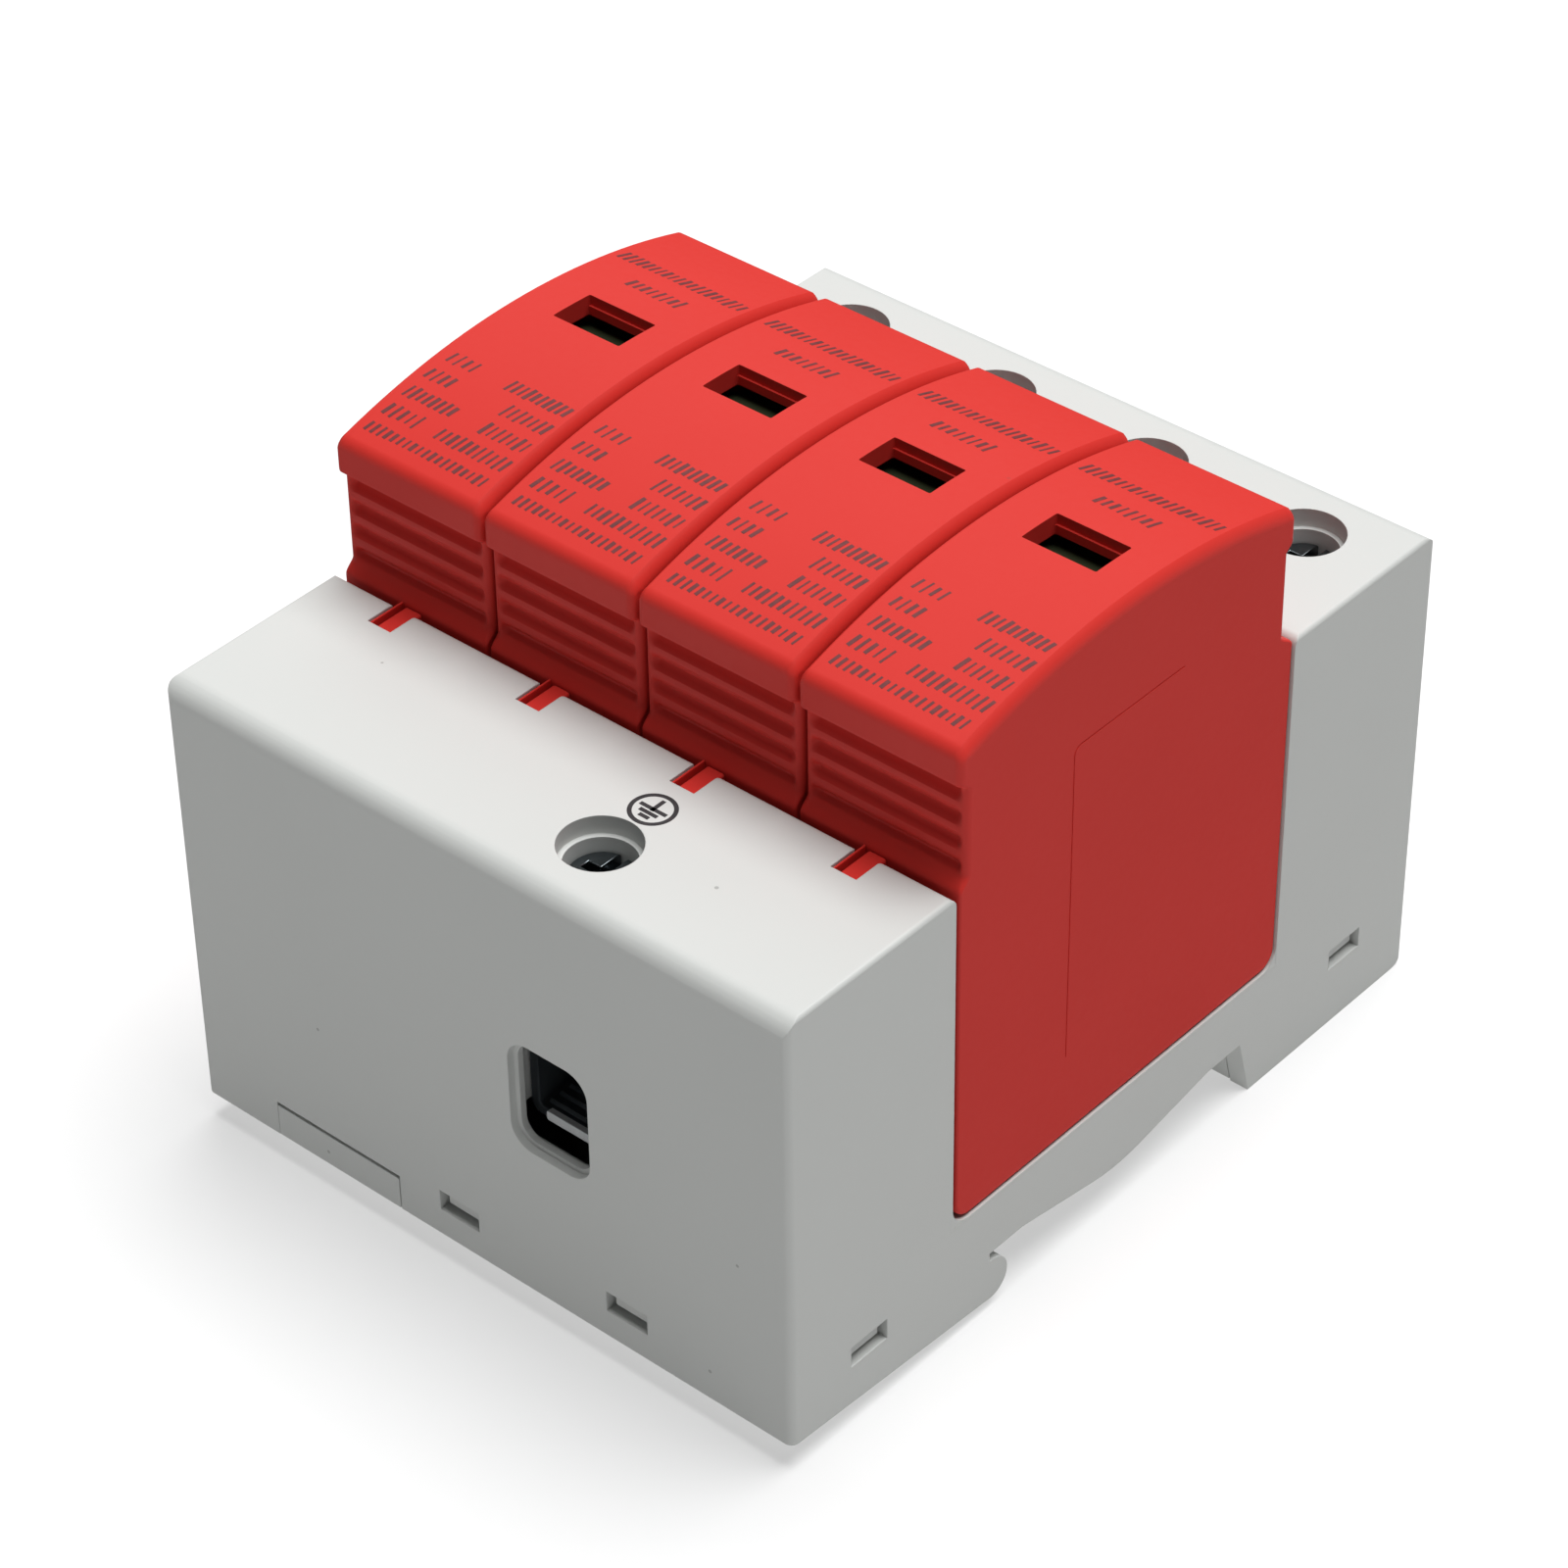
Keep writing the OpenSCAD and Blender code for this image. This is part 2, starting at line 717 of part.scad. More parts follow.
module clamp_screw(x, y) {
  slot_t = 1;
  slot_depth = 1.3;
  cross_l = 3.8;
  cross_depth = 1.9;
  tip_gap = 0.1;
  color("lightsteelblue") translate([x, y, 0]) difference() {
    union() {
      translate([0, 0, bar_top + tip_gap]) cylinder(h = head_low - bar_top, r = thread_r);
      translate([0, 0, head_low]) cylinder(h = head_t - head_chamfer, r = head_r);
      translate([0, 0, head_top - head_chamfer])
        cylinder(h = head_chamfer, r1 = head_r, r2 = head_r - head_chamfer);
    }
    block([-head_r, -slot_t / 2, head_top - slot_depth], [head_r, slot_t / 2, head_top + over]);
    block([-slot_t / 2, -cross_l / 2, head_top - cross_depth], [slot_t / 2, cross_l / 2, head_top + over]);
    block([-cross_l / 2, -slot_t / 2, head_top - cross_depth], [cross_l / 2, slot_t / 2, head_top + over]);
  }
}

module rail_latch(n) {
  tab_l = 2.4;
  tip = cover_y - 0.8;
  pull_slot = [5, 1.2];
  color("dimgray") translate([latch_at(n), 0, 0]) difference() {
    union() {
      block([-latch_w / 2, step_low_y + 1.3, latch_deck], [latch_w / 2, tip, latch_top]);
      block([-latch_web_w / 2, step_low_y + 1.3, latch_low], [latch_web_w / 2, tip + tab_l, latch_top]);
      along_x(-latch_web_w / 2, latch_web_w / 2)
        polygon([[nose_y, nose_top], [nose_y, nose_top - 1], [step_low_y - 1.2, latch_low + 0.5],
                 [step_low_y + 1.4, latch_low], [step_low_y + 1.4, latch_top], [step_low_y, nose_top]]);
    }
    block([-slot_w / 2, slot_y, -over], [slot_w / 2, post_y + post_l + latch_gap, latch_top + over]);
    translate([-pull_slot.x / 2, tip + 0.4, -over]) cube([pull_slot.x, pull_slot.y, latch_top + 2 * over]);
  }
}

module latch_spring(n) {
  coil_r = 1.2;
  turns = 7;
  color("silver")
    coil(latch_at(n), (latch_deck + latch_top) / 2, slot_y + spring_gap, post_y - spring_gap, coil_r,
         spring_wire, turns);
}

// The plug seen from its side, with the grip and the crowned top
module plug_outline() {
  edge_r = 1.4;
  front_foot_r = 1;
  rear_foot_r = 2;
  shoulder_in = 0.5;
  shoulder_slope = 0.9;
  lip_root = lip_z - 0.9;
  edge_y = lip_y - edge_r;
  edge_z = crown_z + sqrt(pow(crown_r - edge_r, 2) - pow(edge_y, 2));
  reach = 2 * crown_r / (edge_z - crown_z);
  difference() {
    polygon([[-plug_y, plug_low], [plug_y, plug_low], [plug_y, shoulder_z - shoulder_h],
             [plug_y - shoulder_in, shoulder_z - shoulder_slope], [grip_y, shoulder_z], [grip_y, lip_root],
             [-grip_y, lip_root], [-grip_y, shoulder_z], [-plug_y + shoulder_in, shoulder_z - shoulder_slope],
             [-plug_y, shoulder_z - shoulder_h]]);
    corner_waste([-plug_y, plug_low], front_foot_r, [1, 1]);
    corner_waste([plug_y, plug_low], rear_foot_r, [-1, 1]);
  }
  polygon([[-grip_y, lip_root - eps], [grip_y, lip_root - eps], [lip_y, lip_z], [lip_y, edge_z],
           [-lip_y, edge_z], [-lip_y, lip_z]]);
  intersection() {
    translate([0, crown_z]) circle(crown_r, $fn = 240);
    polygon([[-edge_y, edge_z - eps], [edge_y, edge_z - eps], [edge_y, edge_z],
             [edge_y * reach, crown_z + (edge_z - crown_z) * reach],
             [-edge_y * reach, crown_z + (edge_z - crown_z) * reach], [-edge_y, edge_z]]);
  }
  for (side = [-1, 1]) translate([side * edge_y, edge_z]) circle(edge_r);
}

// A wheel about X whose rounded rim gives the top's long edges their radius
module crown_wheel() {
  translate([0, 0, crown_z]) rotate([0, 90, 0]) rotate_extrude($fn = 240)
    difference() {
      translate([0, -plug_x]) square([crown_r, plug_w]);
      corner_waste([crown_r, plug_x], crown_edge_r, [-1, -1]);
      corner_waste([crown_r, -plug_x], crown_edge_r, [-1, 1]);
    }
}

// The room inside the casing, open at the bottom
module plug_room() {
  intersection() {
    along_x(-cave_x, cave_x) {
      translate([-cave_y, plug_low - over]) square([2 * cave_y, shoulder_z - shoulder_h - plug_low + over]);
      translate([-neck_y, shoulder_z - over]) square([2 * neck_y, plug_top]);
    }
    translate([-plug_x, 0, crown_z]) rotate([0, 90, 0]) cylinder(h = plug_w, r = ceiling_r, $fn = 240);
  }
}

module grip_grooves() {
  half = plug_x - groove_end;
  for (side = [-1, 1], k = [0 : grooves - 1])
    translate([-half, side * (grip_y + groove_r - groove_depth), groove_z - k * groove_pitch])
      rotate([0, 90, 0]) cylinder(h = 2 * half, r = groove_r);
}

module status_window() {
  step = 0.35;
  step_depth = 1.2;
  step_z = plug_top - step_depth;
  half = [status_w / 2, status_l / 2];
  inner = half - [step, step];
  middle = [status_x, status_y, 0];
  translate(middle) block([-half.x, -half.y, step_z], [half.x, half.y, plug_top + over]);
  translate(middle) block([-inner.x, -inner.y, step_z - over], [inner.x, inner.y, plug_top]);
}

// The coding tab that reaches into the front block's notch
module coding_tab() {
  right = tab_left + tab_w;
  along_y(-bay_y - notch_l + tab_gap, -plug_y + eps) {
    difference() {
      translate([tab_left, tab_low]) square([tab_w, tab_h]);
      corner_waste([tab_left, tab_top], tab_r, [1, -1]);
      corner_waste([right, tab_top], tab_r, [-1, -1]);
    }
    translate([tab_left - wing_w, tab_low]) square([wing_w + eps, tab_h - wing_drop]);
  }
}

module plug_casing(n) {
  color("crimson") translate([pole_x(n), 0, 0]) difference() {
    union() {
      intersection() {
        along_x(-plug_x, plug_x) plug_outline();
        crown_wheel();
        linear_extrude(plug_top + over)
          round_rect([-plug_x, -plug_y], [plug_x, plug_y], plug_corner_r);
      }
      coding_tab();
    }
    plug_room();
    grip_grooves();
    status_window();
    along_x(plug_x - panel_depth, plug_x + over)
      round_rect([-panel_l / 2, panel_low], [panel_l / 2, panel_top], panel_r);
  }
}

// The inner frame that closes the plug, holds the blades and carries the varistor and the slide
module plug_carrier(n) {
  plate_x = cave_x - carrier_gap;
  plate_y = cave_y - carrier_gap;
  leg_x = tower_w / 2 + 0.5;
  opening = tower_l / 2 + 0.4;
  bridge_l = 2.8;
  pad_l = 22;
  pad_inset = 0.4;
  slot_gap = 0.05;
  stop_x = 3;
  stop_drop = 2;
  stop_top = flag_top - stop_drop;
  shelf_gap = 0.6;
  color("orangered") translate([pole_x(n), 0, 0]) difference() {
    union() {
      block([-plate_x, -plate_y, plug_low], [plate_x, plate_y, plug_low + plate_t]);
      block([web_x - varistor_t + pad_inset, -pad_l / 2, plug_low + plate_t - eps],
            [web_x + eps, pad_l / 2, varistor_low]);
      block([web_x, -web_l, plug_low + plate_t - eps], [web_x + web_t, web_l, shelf_top - eps]);
      block([shelf_left, -stop_y - stop_t, shelf_top - shelf_t],
            [plate_x - shelf_gap, stop_y + stop_t, shelf_top]);
      block([-stop_x, stop_y, shelf_top - eps], [stop_x, stop_y + stop_t, stop_top]);
      for (side = [-1, 1])
        block([-plate_x, side * blade_y - bridge_l / 2, plug_low + plate_t - eps],
              [plate_x, side * blade_y + bridge_l / 2, bridge_low + bridge_t]);
    }
    for (side = [-1, 1]) {
      block([-leg_x, side * blade_y - opening, plug_low - over],
            [leg_x, side * blade_y + opening, bridge_low]);
      block([-blade_w / 2 - slot_gap, side * blade_y - blade_t / 2 - slot_gap, plug_low],
            [blade_w / 2 + slot_gap, side * blade_y + blade_t / 2 + slot_gap, bridge_low + bridge_t + over]);
    }
  }
}

module varistor(n) {
  color("royalblue") translate([pole_x(n), 0, 0])
    along_x(web_x - varistor_t, web_x)
      round_rect([-varistor_l / 2, varistor_low], [varistor_l / 2, varistor_low + varistor_h], varistor_r);
}

module earth_blade(n) {
  half = blade_w / 2;
  tab_high = earth_tab_z + earth_tab_t;
  color("silver") translate([pole_x(n), 0, 0]) {
    block([-half, -blade_y - blade_t / 2, blade_low], [half, -blade_y + blade_t / 2, tab_high]);
    block([-half, -blade_y, earth_tab_z], [half, -varistor_l / 2, tab_high]);
  }
}

module line_blade(n) {
  half = blade_w / 2;
  front = blade_y - blade_t / 2;
  back = blade_y + blade_t / 2;
  high = solder_z + solder_h;
  tongue_end = 6;
  tongue_thick = 0.8;
  tongue_in = web_x - varistor_t;
  tongue_out = tongue_in - tongue_thick;
  color("silver") translate([pole_x(n), 0, 0]) {
    block([-half, front, blade_low], [half, back, high]);
    block([tongue_out, front, solder_z], [half, back, high]);
    block([tongue_out, tongue_end, solder_z], [tongue_in, back, high]);
  }
}

module status_slide(n) {
  arm_l = 2.8;
  roll_r = 1;
  color("forestgreen") translate([pole_x(n), 0, 0]) {
    block([-flag_w / 2, slide_front, slide_low], [flag_w / 2, slide_back, slide_low + slide_t]);
    along_x(-flag_w / 2, flag_w / 2) difference() {
      translate([slide_front, slide_low]) square([flag_back - slide_front, flag_top - slide_low]);
      corner_waste([slide_front, flag_top], roll_r, [1, -1]);
      corner_waste([flag_back, flag_top], roll_r, [-1, -1]);
    }
    block([-arm_x, status_y, slide_low], [-flag_w / 2 + eps, status_y + arm_l, slide_low + slide_t]);
    block([-arm_x, status_y, solder_z], [-arm_x + arm_t, status_y + arm_l, slide_low + slide_t]);
  }
}

module trip_spring(n) {
  coil_r = 0.85;
  turns = 6;
  axis_z = slide_low + coil_r + spring_wire + spring_gap;
  color("silver")
    coil(pole_x(n), axis_z, slide_back + spring_gap, stop_y - spring_gap, coil_r, spring_wire, turns);
}

base_housing();
bottom_cover();
signal_port_blank();
earth_busbar();
clamp_cage(earth_x, -terminal_y);  // earth_cage
clamp_screw(earth_x, -terminal_y);  // earth_screw
for (n = [1 : latches]) {
  rail_latch(n);
  latch_spring(n);
}
for (n = [1 : poles]) {
  line_contact(n);
  clamp_cage(pole_x(n), terminal_y);
  clamp_screw(pole_x(n), terminal_y);
  plug_casing(n);
  plug_carrier(n);
  varistor(n);
  earth_blade(n);
  line_blade(n);
  status_slide(n);
  trip_spring(n);
}
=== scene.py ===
"""Dresses the four-pole surge arrester and sets it in a plain studio.

X runs along the rail, Y across it with the earth terminal at -Y, and Z points away from the rail.
Lengths are in metres, except in the classes that say that they count in millimetres.
"""

import logging
import math
from dataclasses import dataclass
from enum import Enum

import bmesh
import bpy
from mathutils import Matrix, Vector


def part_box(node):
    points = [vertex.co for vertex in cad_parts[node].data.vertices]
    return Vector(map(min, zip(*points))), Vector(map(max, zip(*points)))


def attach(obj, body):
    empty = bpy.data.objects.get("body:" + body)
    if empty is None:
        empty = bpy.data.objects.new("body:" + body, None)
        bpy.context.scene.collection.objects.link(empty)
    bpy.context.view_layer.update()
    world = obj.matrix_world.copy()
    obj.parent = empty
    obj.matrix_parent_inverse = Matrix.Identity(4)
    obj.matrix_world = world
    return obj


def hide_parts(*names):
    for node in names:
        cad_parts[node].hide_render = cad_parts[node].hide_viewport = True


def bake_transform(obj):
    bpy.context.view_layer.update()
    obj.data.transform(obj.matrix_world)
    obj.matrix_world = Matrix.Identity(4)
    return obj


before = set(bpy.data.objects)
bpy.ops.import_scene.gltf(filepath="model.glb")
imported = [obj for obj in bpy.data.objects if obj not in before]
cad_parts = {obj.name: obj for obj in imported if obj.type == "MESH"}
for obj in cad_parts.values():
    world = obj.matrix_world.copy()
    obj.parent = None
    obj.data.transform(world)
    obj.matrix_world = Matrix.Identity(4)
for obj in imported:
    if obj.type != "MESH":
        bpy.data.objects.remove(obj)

Colour = tuple[float, float, float]
Point = tuple[float, float, float]
Pair = tuple[float, float]
Outline = list[Pair]
Feeds = dict[str | int, object]
Mesh = bpy.types.Mesh
Shape = bmesh.types.BMesh
Material = bpy.types.Material
Tree = bpy.types.NodeTree
Node = bpy.types.Node
Socket = bpy.types.NodeSocket
Ends = bpy.types.bpy_prop_collection

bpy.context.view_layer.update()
MM = 0.001
POLES = range(1, 5)
LATCHES = range(1, 3)
QUARTER = math.pi / 2
OVER_MM = 1.0
FLOAT = "NodeSocketFloat"
COUNT = "NodeSocketInt"
GEOMETRY = "NodeSocketGeometry"
MATERIAL = "NodeSocketMaterial"
LOG = logging.getLogger("surge_arrester")


class Slot(Enum):
    """The finishes of the part, by the names of its material slots."""

    HOUSING = "housing"
    PLUG = "plug_red"
    CARRIER = "carrier_red"
    FLAG = "flag_green"
    VARISTOR = "varistor_blue"
    COPPER = "copper"
    BLADE = "tinned_blade"
    ZINC = "zinc_steel"
    SPRING = "spring_steel"
    LATCH = "latch_gray"


class Graph:
    """A node tree with short calls to place and wire its nodes."""

    def __init__(self, tree: Tree) -> None:
        """Takes the tree that the nodes go into."""
        self.tree = tree

    def feed(self, node: Node, feeds: Feeds) -> None:
        """Gives a node's inputs their values or wires them.

        Args:
            node: The node.
            feeds: By input name or place, a plain value, an output socket or a list of these sockets.
        """
        for key, source in feeds.items():
            for one in source if isinstance(source, list) else [source]:
                if isinstance(one, Socket):
                    self.tree.links.new(one, node.inputs[key])
                else:
                    node.inputs[key].default_value = one

    def put(self, kind: str, feeds: Feeds | None = None, **settings: object) -> Ends:
        """Places a node.

        Args:
            kind: The node's type name.
            feeds: What its inputs get.
            settings: Properties to set on the node.

        Returns:
            The node's outputs.
        """
        node = self.tree.nodes.new(kind)
        for name, value in settings.items():
            setattr(node, name, value)
        self.feed(node, feeds or {})
        return node.outputs

    def math(self, operation: str, a: object, b: object) -> Socket:
        """Places a Math node for two values or sockets and returns its result."""
        return self.put("ShaderNodeMath", {0: a, 1: b}, operation=operation)[0]

    def mix(self, share: object, a: object, b: object) -> Socket:
        """Mixes two colours by the share of the second and returns the mixed colour."""
        return self.put("ShaderNodeMix", {0: share, 6: a, 7: b}, data_type="RGBA")[2]

    def span(self, value: object, low: float, high: float) -> Socket:
        """Spreads a value from 0..1 over a range and returns the spread value."""
        return self.put("ShaderNodeMapRange", {"Value": value, "To Min": low, "To Max": high})[0]

    def xyz(self, *parts: object) -> Socket:
        """Combines up to three values or sockets into a vector."""
        return self.put("ShaderNodeCombineXYZ", dict(enumerate(parts)))[0]

    def position(self) -> Ends:
        """Splits each point's position into X, Y and Z."""
        return self.put("ShaderNodeSeparateXYZ", {0: self.put("GeometryNodeInputPosition")[0]})

    def end(self, results: Feeds) -> Tree:
        """Wires the group's results and returns its tree."""
        self.put("NodeGroupOutput", results)
        return self.tree


def rgba(colour: Colour) -> tuple[float, float, float, float]:
    """Gives a colour its alpha."""
    return (*colour, 1.0)


def new_group(name: str, kind: str, inputs: dict[str, tuple[str, object]], outputs: dict[str, str]) -> Graph:
    """Makes a node group with named sockets.

    Args:
        name: The group's name.
        kind: The tree's type name.
        inputs: Socket type and default by input name.
        outputs: Socket type by output name.

    Returns:
        The group's graph, still without nodes.
    """
    tree = bpy.data.node_groups.new(name, kind)
    for label, (socket_type, default) in inputs.items():
        socket = tree.interface.new_socket(label, in_out="INPUT", socket_type=socket_type)
        if default is not None:
            socket.default_value = default
    for label, socket_type in outputs.items():
        tree.interface.new_socket(label, in_out="OUTPUT", socket_type=socket_type)
    return Graph(tree)


class SurfaceEffects:
    """The shader groups that several finishes share."""

    def __init__(self) -> None:
        """Builds each group once."""
        self.skin = self.moulded_skin()
        self.specks = self.dust_specks()
        self.rolled = self.rolled_metal()

    @staticmethod
    def start(name: str, inputs: dict[str, float], *outputs: str) -> tuple[Graph, Ends, Socket]:
        """Starts a group.

        Args:
            name: The group's name.
            inputs: Default by input name.
            outputs: Names of the results.

        Returns:
            Its graph, its inputs and the object's coordinates.
        """
        sockets = {label: (FLOAT, value) for label, value in inputs.items()}
        graph = new_group(name, "ShaderNodeTree", sockets, dict.fromkeys(outputs, FLOAT))
        return graph, graph.put("NodeGroupInput"), graph.put("ShaderNodeTexCoord")["Object"]

    @staticmethod
    def noise(graph: Graph, place: Socket, scale: object, detail: float) -> Socket:
        """Places a noise texture.

        Args:
            graph: Where it goes.
            place: The coordinates it reads.
            scale: Waves per metre, or a socket.
            detail: Number of finer octaves.

        Returns:
            The noise value.
        """
        return graph.put("ShaderNodeTexNoise", {"Vector": place, "Scale": scale, "Detail": detail})[0]

    def moulded_skin(self) -> Tree:
        """Builds the eroded skin of a moulded part: fine height, gloss and slow tint."""
        graph, ends, place = self.start("moulded_skin", {"Grain Scale": 5000.0, "Cloud Scale": 60.0},
                                        "Height", "Gloss", "Tint")
        coarse = graph.math("MULTIPLY", ends["Grain Scale"], 0.22)
        return graph.end({"Height": self.noise(graph, place, ends["Grain Scale"], 3.0),
                          "Gloss": self.noise(graph, place, coarse, 2.0),
                          "Tint": self.noise(graph, place, ends["Cloud Scale"], 2.0)})

    def dust_specks(self) -> Tree:
        """Builds a mask of sparse small specks."""
        graph, ends, place = self.start("dust_specks", {"Spacing Scale": 300.0, "Size": 0.06, "Share": 0.1},
                                        "Mask")
        cells = graph.put("ShaderNodeTexVoronoi", {"Vector": place, "Scale": ends["Spacing Scale"]})
        near = graph.math("LESS_THAN", cells["Distance"], ends["Size"])
        chance = graph.put("ShaderNodeSeparateColor", {0: cells["Color"]})[0]
        chosen = graph.math("LESS_THAN", chance, ends["Share"])
        return graph.end({"Mask": graph.math("MULTIPLY", near, chosen)})

    def rolled_metal(self) -> Tree:
        """Builds the drawn lines and stains of rolled sheet or plated metal."""
        graph, ends, place = self.start("rolled_metal", {"Line Scale": 900.0, "Stain Scale": 250.0},
                                        "Height", "Gloss", "Stain")
        drawn = graph.put("ShaderNodeMapping", {"Vector": place, "Scale": (6.0, 6.0, 0.5)})[0]
        lines = self.noise(graph, drawn, ends["Line Scale"], 3.0)
        return graph.end({"Height": lines, "Gloss": lines,
                          "Stain": self.noise(graph, place, ends["Stain Scale"], 4.0)})


@dataclass(frozen=True)
class Finish:
    """A surface of two tones; each kind of finish paints it in its own way."""

    name: str
    colour: Colour
    second: Colour
    roughness: float

    def tones(self, graph: Graph, share: Socket) -> Socket:
        """Mixes the two tones by the share of the second."""
        return graph.mix(share, rgba(self.colour), rgba(self.second))

    def paint(self, graph: Graph, shader: Node, effects: SurfaceEffects) -> None:
        """Wires the finish.

        Args:
            graph: The material's graph.
            shader: Its Principled node.
            effects: The shared shader groups.
        """
        raise NotImplementedError

    def build(self, effects: SurfaceEffects) -> Material:
        """Builds the material.

        Args:
            effects: The shared shader groups.

        Returns:
            The material.
        """
        material = bpy.data.materials.new(self.name)
        material.use_nodes = True
        self.paint(Graph(material.node_tree), material.node_tree.nodes["Principled BSDF"], effects)
        return material


@dataclass(frozen=True)
class MouldedFinish(Finish):
    """A moulded plastic with a spark-eroded skin, slow tint and a few specks of dust."""

    grain: float = 0.03
    grain_scale: float = 5000.0
    grain_depth: float = 0.02 * MM
    gloss_swing: float = 0.06
    speck: Colour = (0.2, 0.2, 0.2)
    speck_share: float = 0.0
    speck_strength: float = 0.5
    edge: float = 0.0
    specular: float = 0.5

    def paint(self, graph: Graph, shader: Node, effects: SurfaceEffects) -> None:
        """Wires the skin, the specks and the softened edges."""
        skin = graph.put("ShaderNodeGroup", {"Grain Scale": self.grain_scale}, node_tree=effects.skin)
        specks = graph.put("ShaderNodeGroup", {"Share": self.speck_share}, node_tree=effects.specks)
        dusty = graph.math("MULTIPLY", specks["Mask"], self.speck_strength)
        bump = {"Strength": self.grain, "Distance": self.grain_depth, "Height": skin["Height"]}
        if self.edge > 0:
            bump["Normal"] = graph.put("ShaderNodeBevel", {"Radius": self.edge}, samples=6)[0]
        low, high = self.roughness - self.gloss_swing, self.roughness + self.gloss_swing
        graph.feed(shader, {
            "Base Color": graph.mix(dusty, self.tones(graph, skin["Tint"]), rgba(self.speck)),
            "Roughness": graph.span(skin["Gloss"], low, high),
            "Specular IOR Level": self.specular,
            "Normal": graph.put("ShaderNodeBump", bump)[0]})


@dataclass(frozen=True)
class MetalFinish(Finish):
    """A rolled or plated metal with drawn lines and slight stains."""

    relief: float = 0.05
    relief_depth: float = 0.01 * MM
    metallic: float = 1.0
    stain: Pair = (-0.4, 1.2)
    gloss: Pair = (-0.08, 0.12)

    def paint(self, graph: Graph, shader: Node, effects: SurfaceEffects) -> None:
        """Wires the lines and stains."""
        rolled = graph.put("ShaderNodeGroup", node_tree=effects.rolled)
        low, high = (self.roughness + swing for swing in self.gloss)
        bump = {"Strength": self.relief, "Distance": self.relief_depth, "Height": rolled["Height"]}
        graph.feed(shader, {
            "Base Color": self.tones(graph, graph.span(rolled["Stain"], *self.stain)),
            "Metallic": self.metallic,
            "Roughness": graph.span(rolled["Gloss"], low, high),
            "Normal": graph.put("ShaderNodeBump", bump)[0]})


@dataclass(frozen=True)
class InkFinish(Finish):
    """Pad-printed ink, a little thin in places."""

    grain_scale: float = 7000.0
    thin: Pair = (-0.3, 1.0)
    gloss_rise: float = 0.1

    def paint(self, graph: Graph, shader: Node, effects: SurfaceEffects) -> None:
        """Wires the thin places."""
        skin = graph.put("ShaderNodeGroup", {"Grain Scale": self.grain_scale}, node_tree=effects.skin)
        graph.feed(shader, {
            "Base Color": self.tones(graph, graph.span(skin["Gloss"], *self.thin)),
            "Roughness": graph.span(skin["Height"], self.roughness, self.roughness + self.gloss_rise)})


FINISHES = {
    Slot.HOUSING: MouldedFinish(
        "housing_gray", (0.565, 0.578, 0.562), (0.55, 0.563, 0.547), 0.5,
        grain=0.10, speck=(0.16, 0.16, 0.15), speck_share=0.05, edge=0.15 * MM),
    Slot.PLUG: MouldedFinish(
        "plug_red", (0.60, 0.034, 0.027), (0.575, 0.031, 0.024), 0.48,
        grain=0.06, speck=(0.40, 0.05, 0.04), speck_share=0.02, specular=0.16),
    Slot.CARRIER: MouldedFinish("carrier_red", (0.62, 0.035, 0.022), (0.52, 0.028, 0.018), 0.45, grain=0.06),
    Slot.FLAG: MouldedFinish(
        "flag_green", (0.026, 0.032, 0.014), (0.016, 0.020, 0.009), 0.42, grain=0.05, specular=0.3),
    Slot.VARISTOR: MouldedFinish(
        "varistor_blue", (0.02, 0.06, 0.24), (0.015, 0.045, 0.18), 0.35, grain=0.2, grain_scale=1500.0),
    Slot.LATCH: MouldedFinish("latch_gray", (0.10, 0.105, 0.11), (0.08, 0.085, 0.09), 0.5, grain=0.08),
    Slot.COPPER: MetalFinish("copper_strip", (0.86, 0.48, 0.30), (0.62, 0.30, 0.17), 0.32),
    Slot.BLADE: MetalFinish("tinned_blade", (0.72, 0.71, 0.68), (0.60, 0.59, 0.57), 0.30),
    # The zinc's dark tone is partly painted shade: it is darkened so that the screw heads read near-black at
    # the bottom of their holes.
    Slot.ZINC: MetalFinish("zinc_steel", (0.17, 0.19, 0.20), (0.09, 0.105, 0.115), 0.20),
    Slot.SPRING: MetalFinish("spring_steel", (0.55, 0.55, 0.56), (0.42, 0.42, 0.43), 0.28),
}
# Near-black cage steel: a dark steel tone, deepened to paint the shade inside the housing.
CAGE_SHADED_FINISH = MetalFinish("cage_steel", (0.10, 0.115, 0.125), (0.06, 0.07, 0.08), 0.32, metallic=0.7)
# Near-white finish of the cage floor's edge bars: a painted highlight of the light that the edge catches.
CAGE_EDGE_HIGHLIGHT_FINISH = MetalFinish(
    "cage_edge", (0.90, 0.92, 0.93), (0.55, 0.57, 0.58), 0.40, relief=0.3, metallic=0.2)
EARTH_INK = InkFinish("earth_mark_ink", (0.012, 0.012, 0.014), (0.03, 0.03, 0.032), 0.5)
RATING_INK = InkFinish("rating_ink", (0.085, 0.012, 0.014), (0.19, 0.018, 0.018), 0.5)


class Palette:
    """The finished materials."""

    def __init__(self) -> None:
        """Builds each finish once."""
        effects = SurfaceEffects()
        self.by_slot = {slot: finish.build(effects) for slot, finish in FINISHES.items()}
        self.cage = CAGE_SHADED_FINISH.build(effects)
        self.cage_edge = CAGE_EDGE_HIGHLIGHT_FINISH.build(effects)
        self.earth_ink = EARTH_INK.build(effects)
        self.rating_ink = RATING_INK.build(effects)


def link(name: str, data: object) -> bpy.types.Object:
    """Makes an object for a mesh, light or camera and puts it into the scene."""
    thing = bpy.data.objects.new(name, data)
    bpy.context.scene.collection.objects.link(thing)
    return thing


